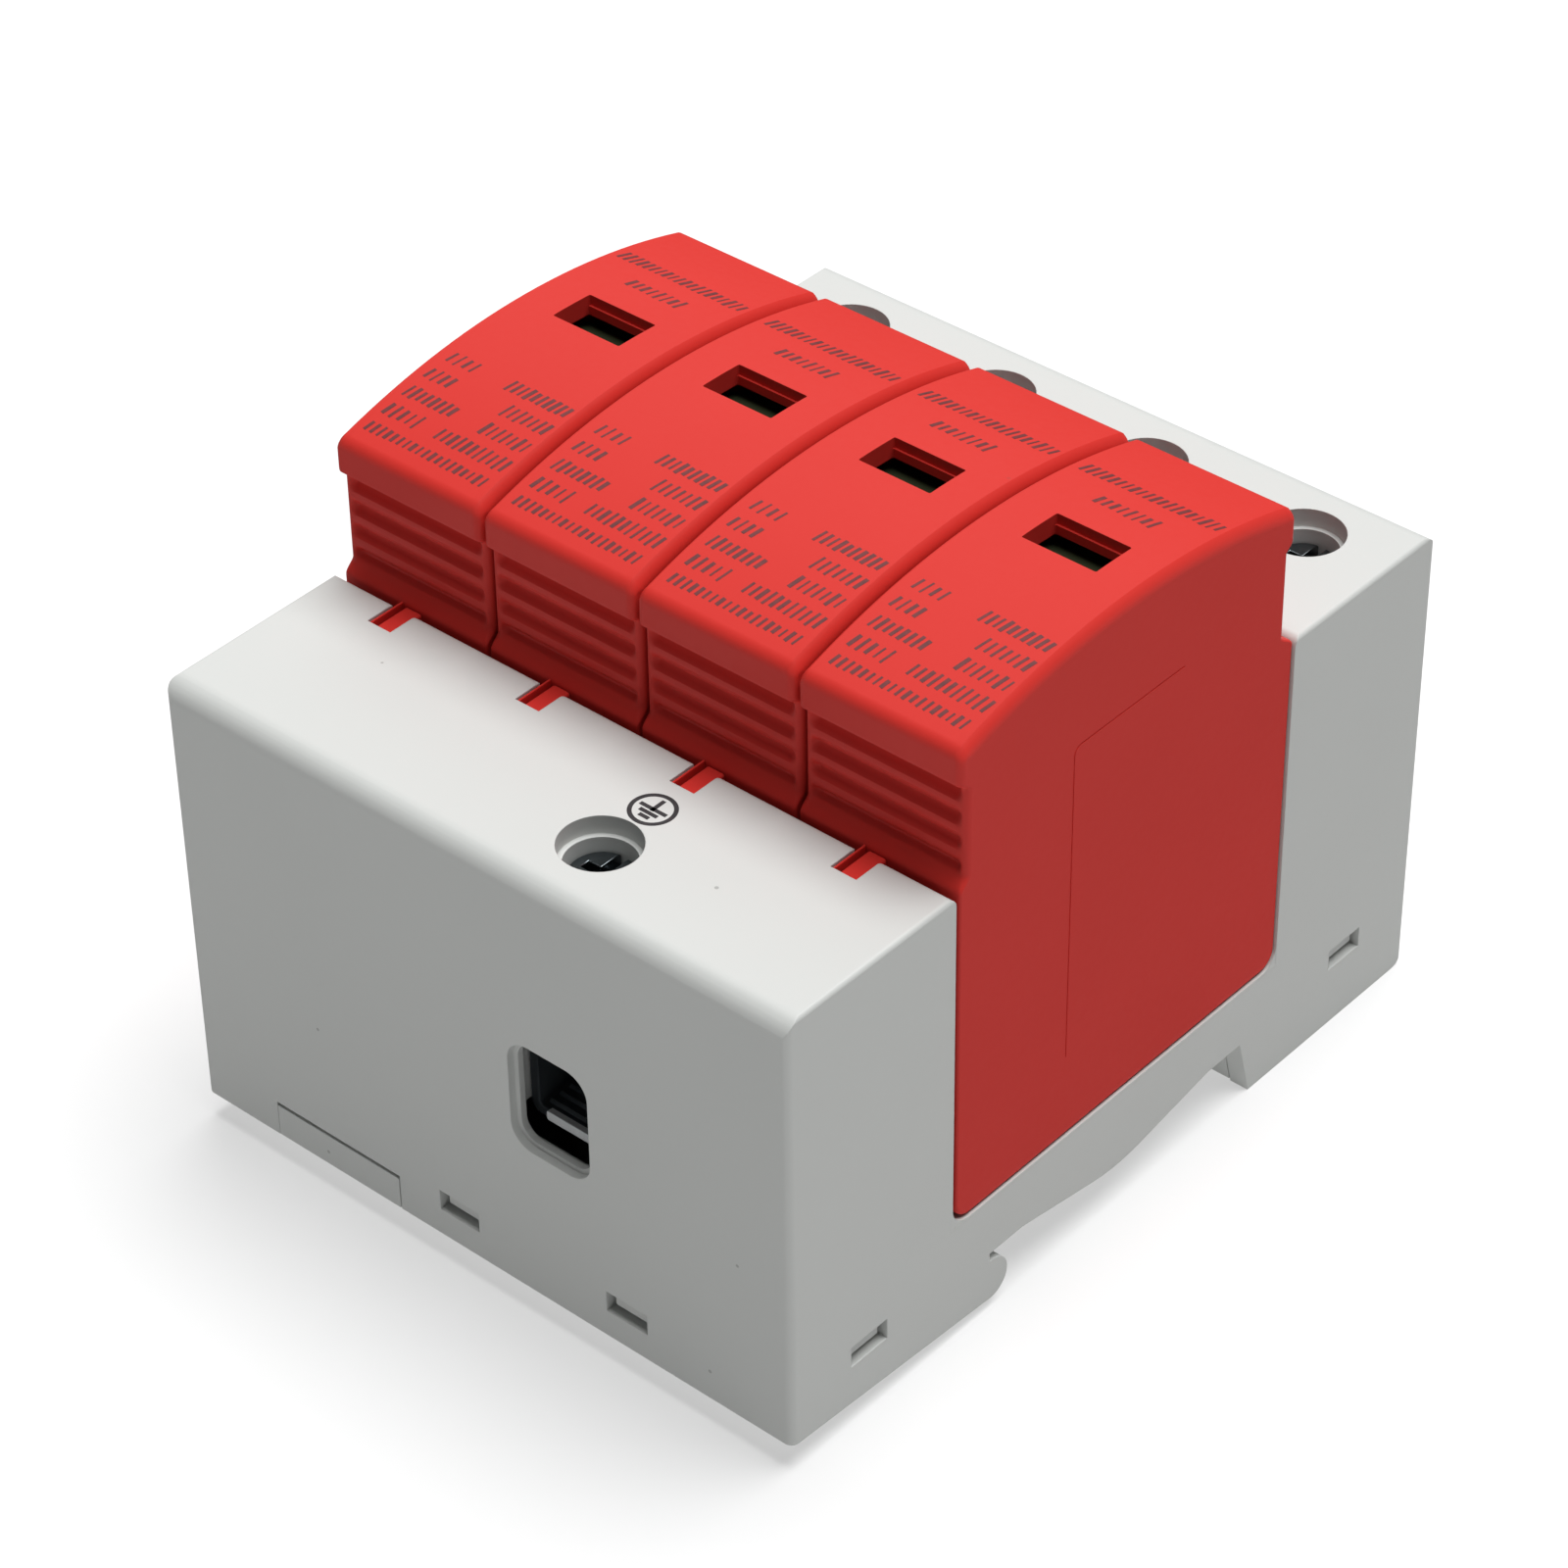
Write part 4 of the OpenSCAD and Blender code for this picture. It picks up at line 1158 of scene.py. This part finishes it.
    def skin(self) -> Mesh:
        """Draws the closed outside of the casing."""
        front = [self.row(point, -1) for point in self.half_outline(self.half_y - self.front_gap)]
        rear = [self.row(point, 1) for point in self.half_outline(self.half_y + self.rear_reach)]
        shape = bmesh.new()
        rows = [[shape.verts.new(place) for place in line] for line in front + rear[-2:0:-1]]
        for k, line in enumerate(rows):
            after = rows[(k + 1) % len(rows)]
            for j in range(len(line) - 1):
                shape.faces.new((line[j], line[j + 1], after[j + 1], after[j]))
        shape.faces.new([line[0] for line in rows])
        shape.faces.new([line[-1] for line in rows][::-1])
        return Bench.mesh("skin", shape)

    def room(self) -> Mesh:
        """Draws the room inside the casing, open at the bottom."""
        neck = self.half_y - self.grip_in - self.wall
        inner_r = self.crown_r - self.crown_t
        lean = math.asin(neck / inner_r)
        outline = [(-self.cave_y, self.low - OVER_MM), (self.cave_y, self.low - OVER_MM),
                   (self.cave_y, self.cave_top), (neck, self.cave_top)]
        for k in range(-self.crown_steps, self.crown_steps + 1):
            turn = -lean * k / self.crown_steps
            outline.append((inner_r * math.sin(turn), self.crown_z + inner_r * math.cos(turn)))
        outline += [(-neck, self.cave_top), (-self.cave_y, self.cave_top)]
        return prism(outline, Axis.X, self.wall - self.half_x, self.half_x - self.wall)

    def opening(self, inset: float, low: float) -> Mesh:
        """Draws a box through the window.

        Args:
            inset: How much shorter than the window it is at the rear.
            low: Its lower end.

        Returns:
            The box.
        """
        x, y = self.window_at
        half_w, half_l = self.window[0] / 2, self.window[1] / 2
        outline = round_rect((x - half_w, y - half_l), (x + half_w, y + half_l - inset), self.window_r, 3)
        return prism(outline, Axis.Z, low, self.top + 2 * OVER_MM)

    def tab(self) -> Mesh:
        """Draws the coding tab with its lower wing and thin rib, sunk into the front wall."""
        bars = []
        for bar in self.bars:
            section = round_rect(bar.low, bar.high, bar.radius, bar.steps)
            whole = prism(section, Axis.Y, self.tab_front, self.sink - self.half_y)
            bars.append(Bench.soften(whole, bar.edge))
        return Bench.join("tab", *bars)

    def side_seam(self) -> Mesh:
        """Draws the waste of the hairline along the side panel's front and top."""
        (y0, z0), (y1, z1) = self.panel_low, self.panel_high
        low, high = self.half_x - self.seam_depth, self.half_x + OVER_MM
        outer = prism(round_rect((y0, z0), (y1, z1), self.panel_r), Axis.X, low, high)
        past = 5 * OVER_MM
        inner = prism(round_rect((y0 + self.seam, z0 - past), (y1 + past, z1 - self.seam),
                                 self.panel_r - self.seam), Axis.X, low - OVER_MM, high + OVER_MM)
        return Bench.carve(outer, inner)

    def mesh(self) -> Mesh:
        """Builds the casing in metres, at X 0."""
        below = self.top - self.window_depth
        cut = Bench.carve(self.skin(), self.room(), self.opening(0.0, below),
                          self.opening(self.window_step, below - 3 * OVER_MM))
        eased = Bench.soften(cut, self.cut_edge, self.cut_angle)
        casing = Bench.join("plug_casing", Bench.carve(eased, self.side_seam()), self.tab())
        return Bench.shade(Bench.metres(casing))


@dataclass(frozen=True)
class PrintRow:
    """A run of ink strokes on the crown, in millimetres from the plug's middle."""

    y: float
    left: float
    right: float
    height: float = 1.75


@dataclass(frozen=True)
class CrownPrint:
    """The printed strokes on a plug's crown, in millimetres."""

    rows: tuple[PrintRow, ...] = (
        PrintRow(13.4, -7.0, 7.4), PrintRow(9.6, -2.6, 3.3),
        PrintRow(-9.8, -6.6, -3.8), PrintRow(-9.8, 0.6, 7.4),
        PrintRow(-12.5, -6.8, -4.2), PrintRow(-12.5, 2.6, 7.4),
        PrintRow(-15.2, -6.8, -1.4), PrintRow(-15.2, 2.6, 7.4),
        PrintRow(-17.8, -6.8, -3.2), PrintRow(-17.8, -0.5, 7.4),
        PrintRow(-20.2, -6.9, 7.0, 1.25),
    )
    pitch: float = 0.74
    width: float = 0.3
    ink: float = 0.03
    lean: float = 0.22
    seed: int = 11

    def points(self, height: float) -> Mesh:
        """Marks the middle of every stroke in the rows of one height."""
        shape = bmesh.new()
        for row in self.rows:
            if row.height == height:
                count = int((row.right - row.left) / self.pitch)
                for k in range(count + 1):
                    x = row.left + (row.right - row.left) * k / count
                    shape.verts.new((x * MM, row.y * MM, 0.0))
        return Bench.mesh("print_points", shape)

    def mesh(self, shell: PlugShell, rules: Rules, ink: Material) -> Mesh:
        """Builds the strokes.

        Args:
            shell: The casing that they lie on.
            rules: The geometry trees.
            ink: Their finish.

        Returns:
            The strokes' mesh in metres, at X 0.
        """
        runs = []
        for height in sorted({row.height for row in self.rows}):
            runs.append(Bench.grow(self.points(height), rules.strokes, {
                "Width": self.width * MM, "Height": height * MM, "Ink": self.ink * MM, "Lean": self.lean,
                "Crown Radius": shell.crown_r * MM, "Crown Level": shell.crown_z * MM, "Seed": self.seed,
                "Finish": ink}))
        return Bench.dress(Bench.join("crown_print", *runs), ink)


@dataclass(frozen=True)
class ClampCage:
    """A terminal's bent steel cage with a threaded top and ribs on its floor, in millimetres."""

    half_x: float = 5.0
    half_y: float = 4.8
    low: float = 21.4
    sheet: float = 1.0
    inner_top: float = 33.1
    top: float = 36.1
    bend_r: float = 1.1
    inner_r: float = 0.4
    hole_r: float = 2.6
    hole_steps: int = 40
    ribs: int = 7
    rib_pitch: float = 1.25
    rib_l: float = 7.2
    rib_h: float = 0.28
    edge: float = 0.14
    lip_x: float = 3.0
    lip_t: float = 0.4
    lip_out: float = 0.25
    lip_rise: float = 0.02
    lip_r: float = 0.2
    lip_edge: float = 0.06

    def lip(self, side: int) -> Mesh:
        """Draws the edge bar at one end of the floor, -1 at the front and 1 at the rear; its near-white
        finish is a painted highlight on the floor's edge.
        """
        near, far = sorted((side * (self.half_y - self.lip_t), side * (self.half_y + self.lip_out)))
        low = self.low + self.lip_rise
        outline = round_rect((-self.lip_x, low), (self.lip_x, low + self.sheet), self.lip_r, 3)
        return Bench.soften(prism(outline, Axis.Y, near, far), self.lip_edge)

    def mesh(self, rules: Rules, finish: Material, highlight_finish: Material) -> Mesh:
        """Builds the cage.

        Args:
            rules: The geometry trees.
            finish: Its near-black finish, dark steel deepened to paint the shade inside the housing.
            highlight_finish: Near-white finish of its edge bars, a painted highlight of the light that they
                catch.

        Returns:
            The cage's mesh in metres, about the terminal's axis.
        """
        outer = round_rect((-self.half_x, self.low), (self.half_x, self.top), self.bend_r)
        inner_x = self.half_x - self.sheet
        inner = round_rect((-inner_x, self.low + self.sheet), (inner_x, self.inner_top), self.inner_r)
        ring = prism(outer, Axis.Y, -self.half_y, self.half_y)
        room = prism(inner, Axis.Y, -self.half_y - OVER_MM, self.half_y + OVER_MM)
        hole = lathe([(self.hole_r, self.inner_top - OVER_MM), (self.hole_r, self.top + OVER_MM)],
                     self.hole_steps)
        cage = Bench.metres(Bench.soften(Bench.carve(ring, room, hole), self.edge))
        grown = Bench.grow(cage, rules.ribs, {
            "Count": self.ribs, "Pitch": self.rib_pitch * MM, "Length": self.rib_l * MM,
            "Height": self.rib_h * MM, "Level": (self.low + self.sheet) * MM, "Finish": finish})
        lips = Bench.metres(Bench.join("lips", self.lip(-1), self.lip(1)))
        # Index 1 gives the edge bars the near-white finish, a painted highlight.
        for mesh, index in ((grown, 0), (lips, 1)):
            for face in mesh.polygons:
                face.material_index = index
        whole = Bench.shade(Bench.join("clamp_cage", grown, lips))
        whole.materials.append(finish)
        whole.materials.append(highlight_finish)
        return whole


@dataclass(frozen=True)
class ClampScrew:
    """A terminal's screw with a threaded shank and a slotted cross head, in millimetres."""

    head_r: float = 3.1
    head_low: float = 43.4
    head_top: float = 47.4
    chamfer: float = 0.3
    head_steps: int = 48
    sharp: float = math.radians(50)
    slot_w: float = 1.0
    slot_depth: float = 1.3
    cross_l: float = 3.8
    cross_depth: float = 1.9
    shank_r: float = 2.5
    shank_low: float = 32.9
    overlap: float = 0.1
    pitch: float = 0.8
    turn_steps: int = 6
    thread: float = 0.28
    edge: float = 0.09

    def mesh(self, rules: Rules, finish: Material) -> Mesh:
        """Builds the screw.

        Args:
            rules: The geometry trees.
            finish: Its finish.

        Returns:
            The screw's mesh in metres, about its axis.
        """
        half, cross, reach = self.slot_w / 2, self.cross_l / 2, self.head_r + OVER_MM
        deep, over = self.head_top - self.cross_depth, self.head_top + OVER_MM
        rim = self.head_r - self.chamfer
        head = lathe([(rim, self.head_low), (self.head_r, self.head_low + self.chamfer),
                      (self.head_r, self.head_top - self.chamfer), (rim, self.head_top)], self.head_steps)
        slot = prism(rect((-half, -reach), (half, reach)), Axis.Z, self.head_top - self.slot_depth, over)
        along = prism(rect((-half, -cross), (half, cross)), Axis.Z, deep, over + OVER_MM)
        across = prism(rect((-cross, -half), (cross, half)), Axis.Z, deep, over + 2 * OVER_MM)
        cut = Bench.metres(Bench.soften(Bench.carve(head, slot, along, across), self.edge))
        length = self.head_low + self.overlap - self.shank_low
        shank = Bench.grow(bpy.data.meshes.new("shank"), rules.shank, {
            "Radius": self.shank_r * MM, "Length": length * MM, "Pitch": self.pitch * MM,
            "Depth": self.thread * MM, "Steps": int(length / self.pitch * self.turn_steps), "Finish": finish})
        shank.transform(Matrix.Translation((0.0, 0.0, (self.shank_low + length / 2) * MM)))
        return Bench.dress(Bench.shade(Bench.join("clamp_screw", cut, shank), self.sharp), finish)


@dataclass(frozen=True)
class CoilSpring:
    """A coil spring wound to the room of the solid that it stands for."""

    node: str
    body: str
    mover: str
    turns: float
    wire: float = 0.3 * MM
    sharp: float = math.radians(60)

    def build(self, rules: Rules, finish: Material) -> None:
        """Winds the spring between its seat, at its rear, and the piece that it pushes.

        Args:
            rules: The geometry trees.
            finish: Its finish.
        """
        low, high = (Vector(corner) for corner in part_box(self.node))
        middle = (low + high) / 2
        coil = Bench.grow(bpy.data.meshes.new("coil"), rules.coil, {
            "Radius": (high.x - low.x) / 2 - self.wire, "Wire": self.wire,
            "Length": high.y - low.y - 2 * self.wire, "Turns": self.turns, "Finish": finish})
        coil.transform(Matrix.Translation((middle.x, low.y + self.wire, middle.z)))
        seat = Vector((middle.x, high.y - 2 * self.wire, middle.z))
        push = Vector((middle.x, low.y + 2 * self.wire, middle.z))
        new_piece(f"wound_{self.node}", Bench.shade(coil, self.sharp), self.body, Slot.SPRING, self.node,
                  stretch=Stretch(self.mover, seat, push))


@dataclass(frozen=True)
class SoftSolid:
    """A solid whose edges are eased as its tool leaves them."""

    node: str
    body: str
    slot: Slot
    edge: float = 0.15 * MM
    weld: float = 0.001 * MM
    flat: float = math.radians(0.3)

    def adjust(self, shape: Shape) -> None:
        """Changes the copied shape; a plain solid stays as it is."""

    def extras(self) -> list[Mesh]:
        """Draws what is added to the copy; a plain solid has nothing."""
        return []

    def build(self, palette: Palette) -> None:
        """Builds the eased copy and puts it on its body.

        Args:
            palette: The finished materials.
        """
        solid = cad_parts[self.node]
        shape = bmesh.new()
        shape.from_mesh(solid.data)
        shape.transform(solid.matrix_world)
        bmesh.ops.remove_doubles(shape, verts=shape.verts, dist=self.weld)
        bmesh.ops.dissolve_limit(shape, angle_limit=self.flat, verts=shape.verts, edges=shape.edges)
        self.adjust(shape)
        eased = Bench.soften(Bench.mesh(self.node, shape), self.edge)
        shaded = Bench.shade(Bench.join(self.node, eased, *self.extras()))
        mesh = Bench.dress(shaded, palette.by_slot[self.slot])
        new_piece(f"soft_{self.node}", mesh, self.body, self.slot, self.node)


@dataclass(frozen=True)
class HousingSkin(SoftSolid):
    """The base with the fillets in which the plugs' lower corners sit."""

    half_x: float = 35.98 * MM
    bay_y: float = 23.5 * MM
    floor_z: float = 13.2 * MM
    radius: float = 2.2 * MM
    sink: float = 0.3 * MM
    steps: int = 8

    def fillet(self, side: int) -> Mesh:
        """Draws the fillet along one lower corner of the bay, -1 at the front and 1 at the rear."""
        radius, wall_y, under = self.radius, side * (self.bay_y + self.sink), self.floor_z - self.sink
        outline = [(wall_y, under), (side * (self.bay_y - radius), under)]
        for k in range(self.steps + 1):
            turn = QUARTER * k / self.steps
            outline.append((side * (self.bay_y - radius + radius * math.sin(turn)),
                            self.floor_z + radius - radius * math.cos(turn)))
        outline.append((wall_y, self.floor_z + radius))
        return prism(outline, Axis.X, -self.half_x, self.half_x)

    def extras(self) -> list[Mesh]:
        """Draws the two fillets."""
        return [self.fillet(-1), self.fillet(1)]


@dataclass(frozen=True)
class CoverSkin(SoftSolid):
    """The bottom cover with square snap noses that nearly fill their windows."""

    face_x: float = 36.0 * MM
    face_y: float = 45.0 * MM
    end_y: float = 34.75 * MM
    end_z: float = 7.9 * MM
    front_x: Pair = (-3.2 * MM, 17.0 * MM)
    rear_x: Pair = (-4.5 * MM, 4.5 * MM)
    side_z: float = 7.2 * MM
    half_w: float = 1.85 * MM
    low: float = -0.5 * MM
    high: float = 0.72 * MM
    set_in: float = 0.62 * MM
    deep: float = 2.4 * MM
    nose_r: float = 0.1 * MM
    nose_edge: float = 0.06 * MM

    def nose(self, axis: Axis, face: float, across: float, level: float) -> Mesh:
        """Draws one nose.

        Args:
            axis: The way that its window looks.
            face: Where the housing's face is on that axis.
            across: The window's middle along the face.
            level: The window's middle height.

        Returns:
            The nose's mesh.
        """
        lower = (across - self.half_w, level + self.low)
        upper = (across + self.half_w, level + self.high)
        outline = round_rect(lower, upper, self.nose_r, 2)
        side = math.copysign(1.0, face)
        near, far = sorted((face - side * self.set_in, face - side * self.deep))
        return Bench.soften(prism(outline, axis, near, far), self.nose_edge)

    def extras(self) -> list[Mesh]:
        """Draws the eight noses."""
        noses = [self.nose(Axis.Y, -self.face_y, x, self.side_z) for x in self.front_x]
        noses += [self.nose(Axis.Y, self.face_y, x, self.side_z) for x in self.rear_x]
        for face in (-self.face_x, self.face_x):
            noses += [self.nose(Axis.X, face, y, self.end_z) for y in (-self.end_y, self.end_y)]
        return noses


@dataclass(frozen=True)
class FlagSkin(SoftSolid):
    """A status slide, whose flag leans so that its front edge takes the light."""

    depth: float = 1.2 * MM
    lean: float = 1.1 * MM

    def adjust(self, shape: Shape) -> None:
        """Leans the flag's face down towards the rear."""
        top = max(corner.co.z for corner in shape.verts)
        flag = [corner for corner in shape.verts if corner.co.z > top - self.depth]
        front = min(corner.co.y for corner in flag)
        back = max(corner.co.y for corner in flag)
        for corner in flag:
            corner.co.z -= self.lean * (corner.co.y - front) / (back - front)


@dataclass(frozen=True)
class CarrierSkin(SoftSolid):
    """A plug's carrier, whose lower front edge leans back behind the casing's rounded foot."""

    below: float = 13.6 * MM
    front_y: float = -21.0 * MM
    back: float = 1.1 * MM

    def adjust(self, shape: Shape) -> None:
        """Leans the plate's front edge back."""
        for corner in shape.verts:
            if corner.co.z < self.below and corner.co.y < self.front_y:
                corner.co.y += self.back


@dataclass(frozen=True)
class BlankSkin(SoftSolid):
    """The signal port's blank, whose upper edge leaves a dark gap."""

    above: float = 6.5 * MM
    left: float = -26.0 * MM
    front_y: float = -42.9 * MM
    drop: float = 0.28 * MM
    closed: float = 0.13 * MM

    def adjust(self, shape: Shape) -> None:
        """Lowers the blank's upper edge in the face and closes its left seam."""
        for corner in shape.verts:
            if corner.co.y < self.front_y:
                corner.co.z -= self.drop if corner.co.z > self.above else 0.0
                corner.co.x -= self.closed if corner.co.x < self.left else 0.0


@dataclass(frozen=True)
class Arrester:
    """All pieces that stand for solids of the part."""

    palette: Palette
    rules: Rules
    pole_pitch: float = 18.0 * MM
    earth_at: Pair = (8.7 * MM, -37.2 * MM)
    line_y: float = 37.2 * MM
    trip_turns: float = 6.0
    latch_turns: float = 7.0
    blank_edge: float = 0.06 * MM
    cover_edge: float = 0.08 * MM
    small_edge: float = 0.05 * MM

    def pole_x(self, pole: int) -> float:
        """Finds a pole's place along X."""
        return (pole - (len(POLES) + 1) / 2) * self.pole_pitch

    def solids(self) -> None:
        """Gives every solid its finish from the record's slots."""
        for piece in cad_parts.values():
            slot = Slot(piece.material_slots[0].material.name.split(".")[0])
            for holder in piece.material_slots:
                holder.material = self.palette.by_slot[slot]

    def plugs(self) -> None:
        """Puts the casings and their print in place."""
        shell = PlugShell()
        casing = Bench.dress(shell.mesh(), self.palette.by_slot[Slot.PLUG])
        ink = CrownPrint().mesh(shell, self.rules, self.palette.rating_ink)
        for pole in POLES:
            place = (self.pole_x(pole), 0.0, 0.0)
            body, shown, printed = f"plug_{pole}", f"plug_shell_{pole}", f"plug_print_{pole}"
            new_piece(shown, Bench.moved(casing, shown, place), body, Slot.PLUG, f"plug_casing_{pole}")
            new_piece(printed, Bench.moved(ink, printed, place), body, Slot.PLUG)
        bpy.data.meshes.remove(casing)
        bpy.data.meshes.remove(ink)

    def clamps(self) -> None:
        """Puts the cages and screws of all terminals in place."""
        cage = ClampCage().mesh(self.rules, self.palette.cage, self.palette.cage_edge)
        screw = ClampScrew().mesh(self.rules, self.palette.by_slot[Slot.ZINC])
        places = {("earth_cage", "earth_screw"): self.earth_at}
        for pole in POLES:
            places[f"line_cage_{pole}", f"line_screw_{pole}"] = (self.pole_x(pole), self.line_y)
        for nodes, (x, y) in places.items():
            for node, mesh in zip(nodes, (cage, screw)):
                name = f"real_{node}"
                new_piece(name, Bench.moved(mesh, name, (x, y, 0.0)), node, Slot.ZINC, node)
        bpy.data.meshes.remove(cage)
        bpy.data.meshes.remove(screw)

    def springs(self) -> None:
        """Winds the latch and trip springs."""
        springs = [CoilSpring(f"latch_spring_{k}", "base", f"latch_{k}", self.latch_turns) for k in LATCHES]
        springs += [CoilSpring(f"trip_spring_{k}", f"plug_{k}", f"status_{k}", self.trip_turns)
                    for k in POLES]
        for spring in springs:
            spring.build(self.rules, self.palette.by_slot[Slot.SPRING])

    def skins(self) -> None:
        """Builds the eased copies of the mouldings."""
        skins = [HousingSkin("base_housing", "base", Slot.HOUSING),
                 BlankSkin("signal_port_blank", "base", Slot.HOUSING, self.blank_edge),
                 CoverSkin("bottom_cover", "base", Slot.HOUSING, self.cover_edge)]
        for pole in POLES:
            skins += [CarrierSkin(f"plug_carrier_{pole}", f"plug_{pole}", Slot.CARRIER, self.small_edge),
                      FlagSkin(f"status_slide_{pole}", f"status_{pole}", Slot.FLAG, self.small_edge)]
        for skin in skins:
            skin.build(self.palette)

    def build(self) -> None:
        """Builds the whole part."""
        self.solids()
        self.plugs()
        self.clamps()
        self.springs()
        self.skins()
        EarthMark().build(self.palette)


def main() -> None:
    """Builds the studio and dresses the part."""
    logging.basicConfig(level=logging.INFO, format="%(message)s")
    Studio().build()
    Arrester(Palette(), Rules()).build()


if __name__ == "__main__":
    main()
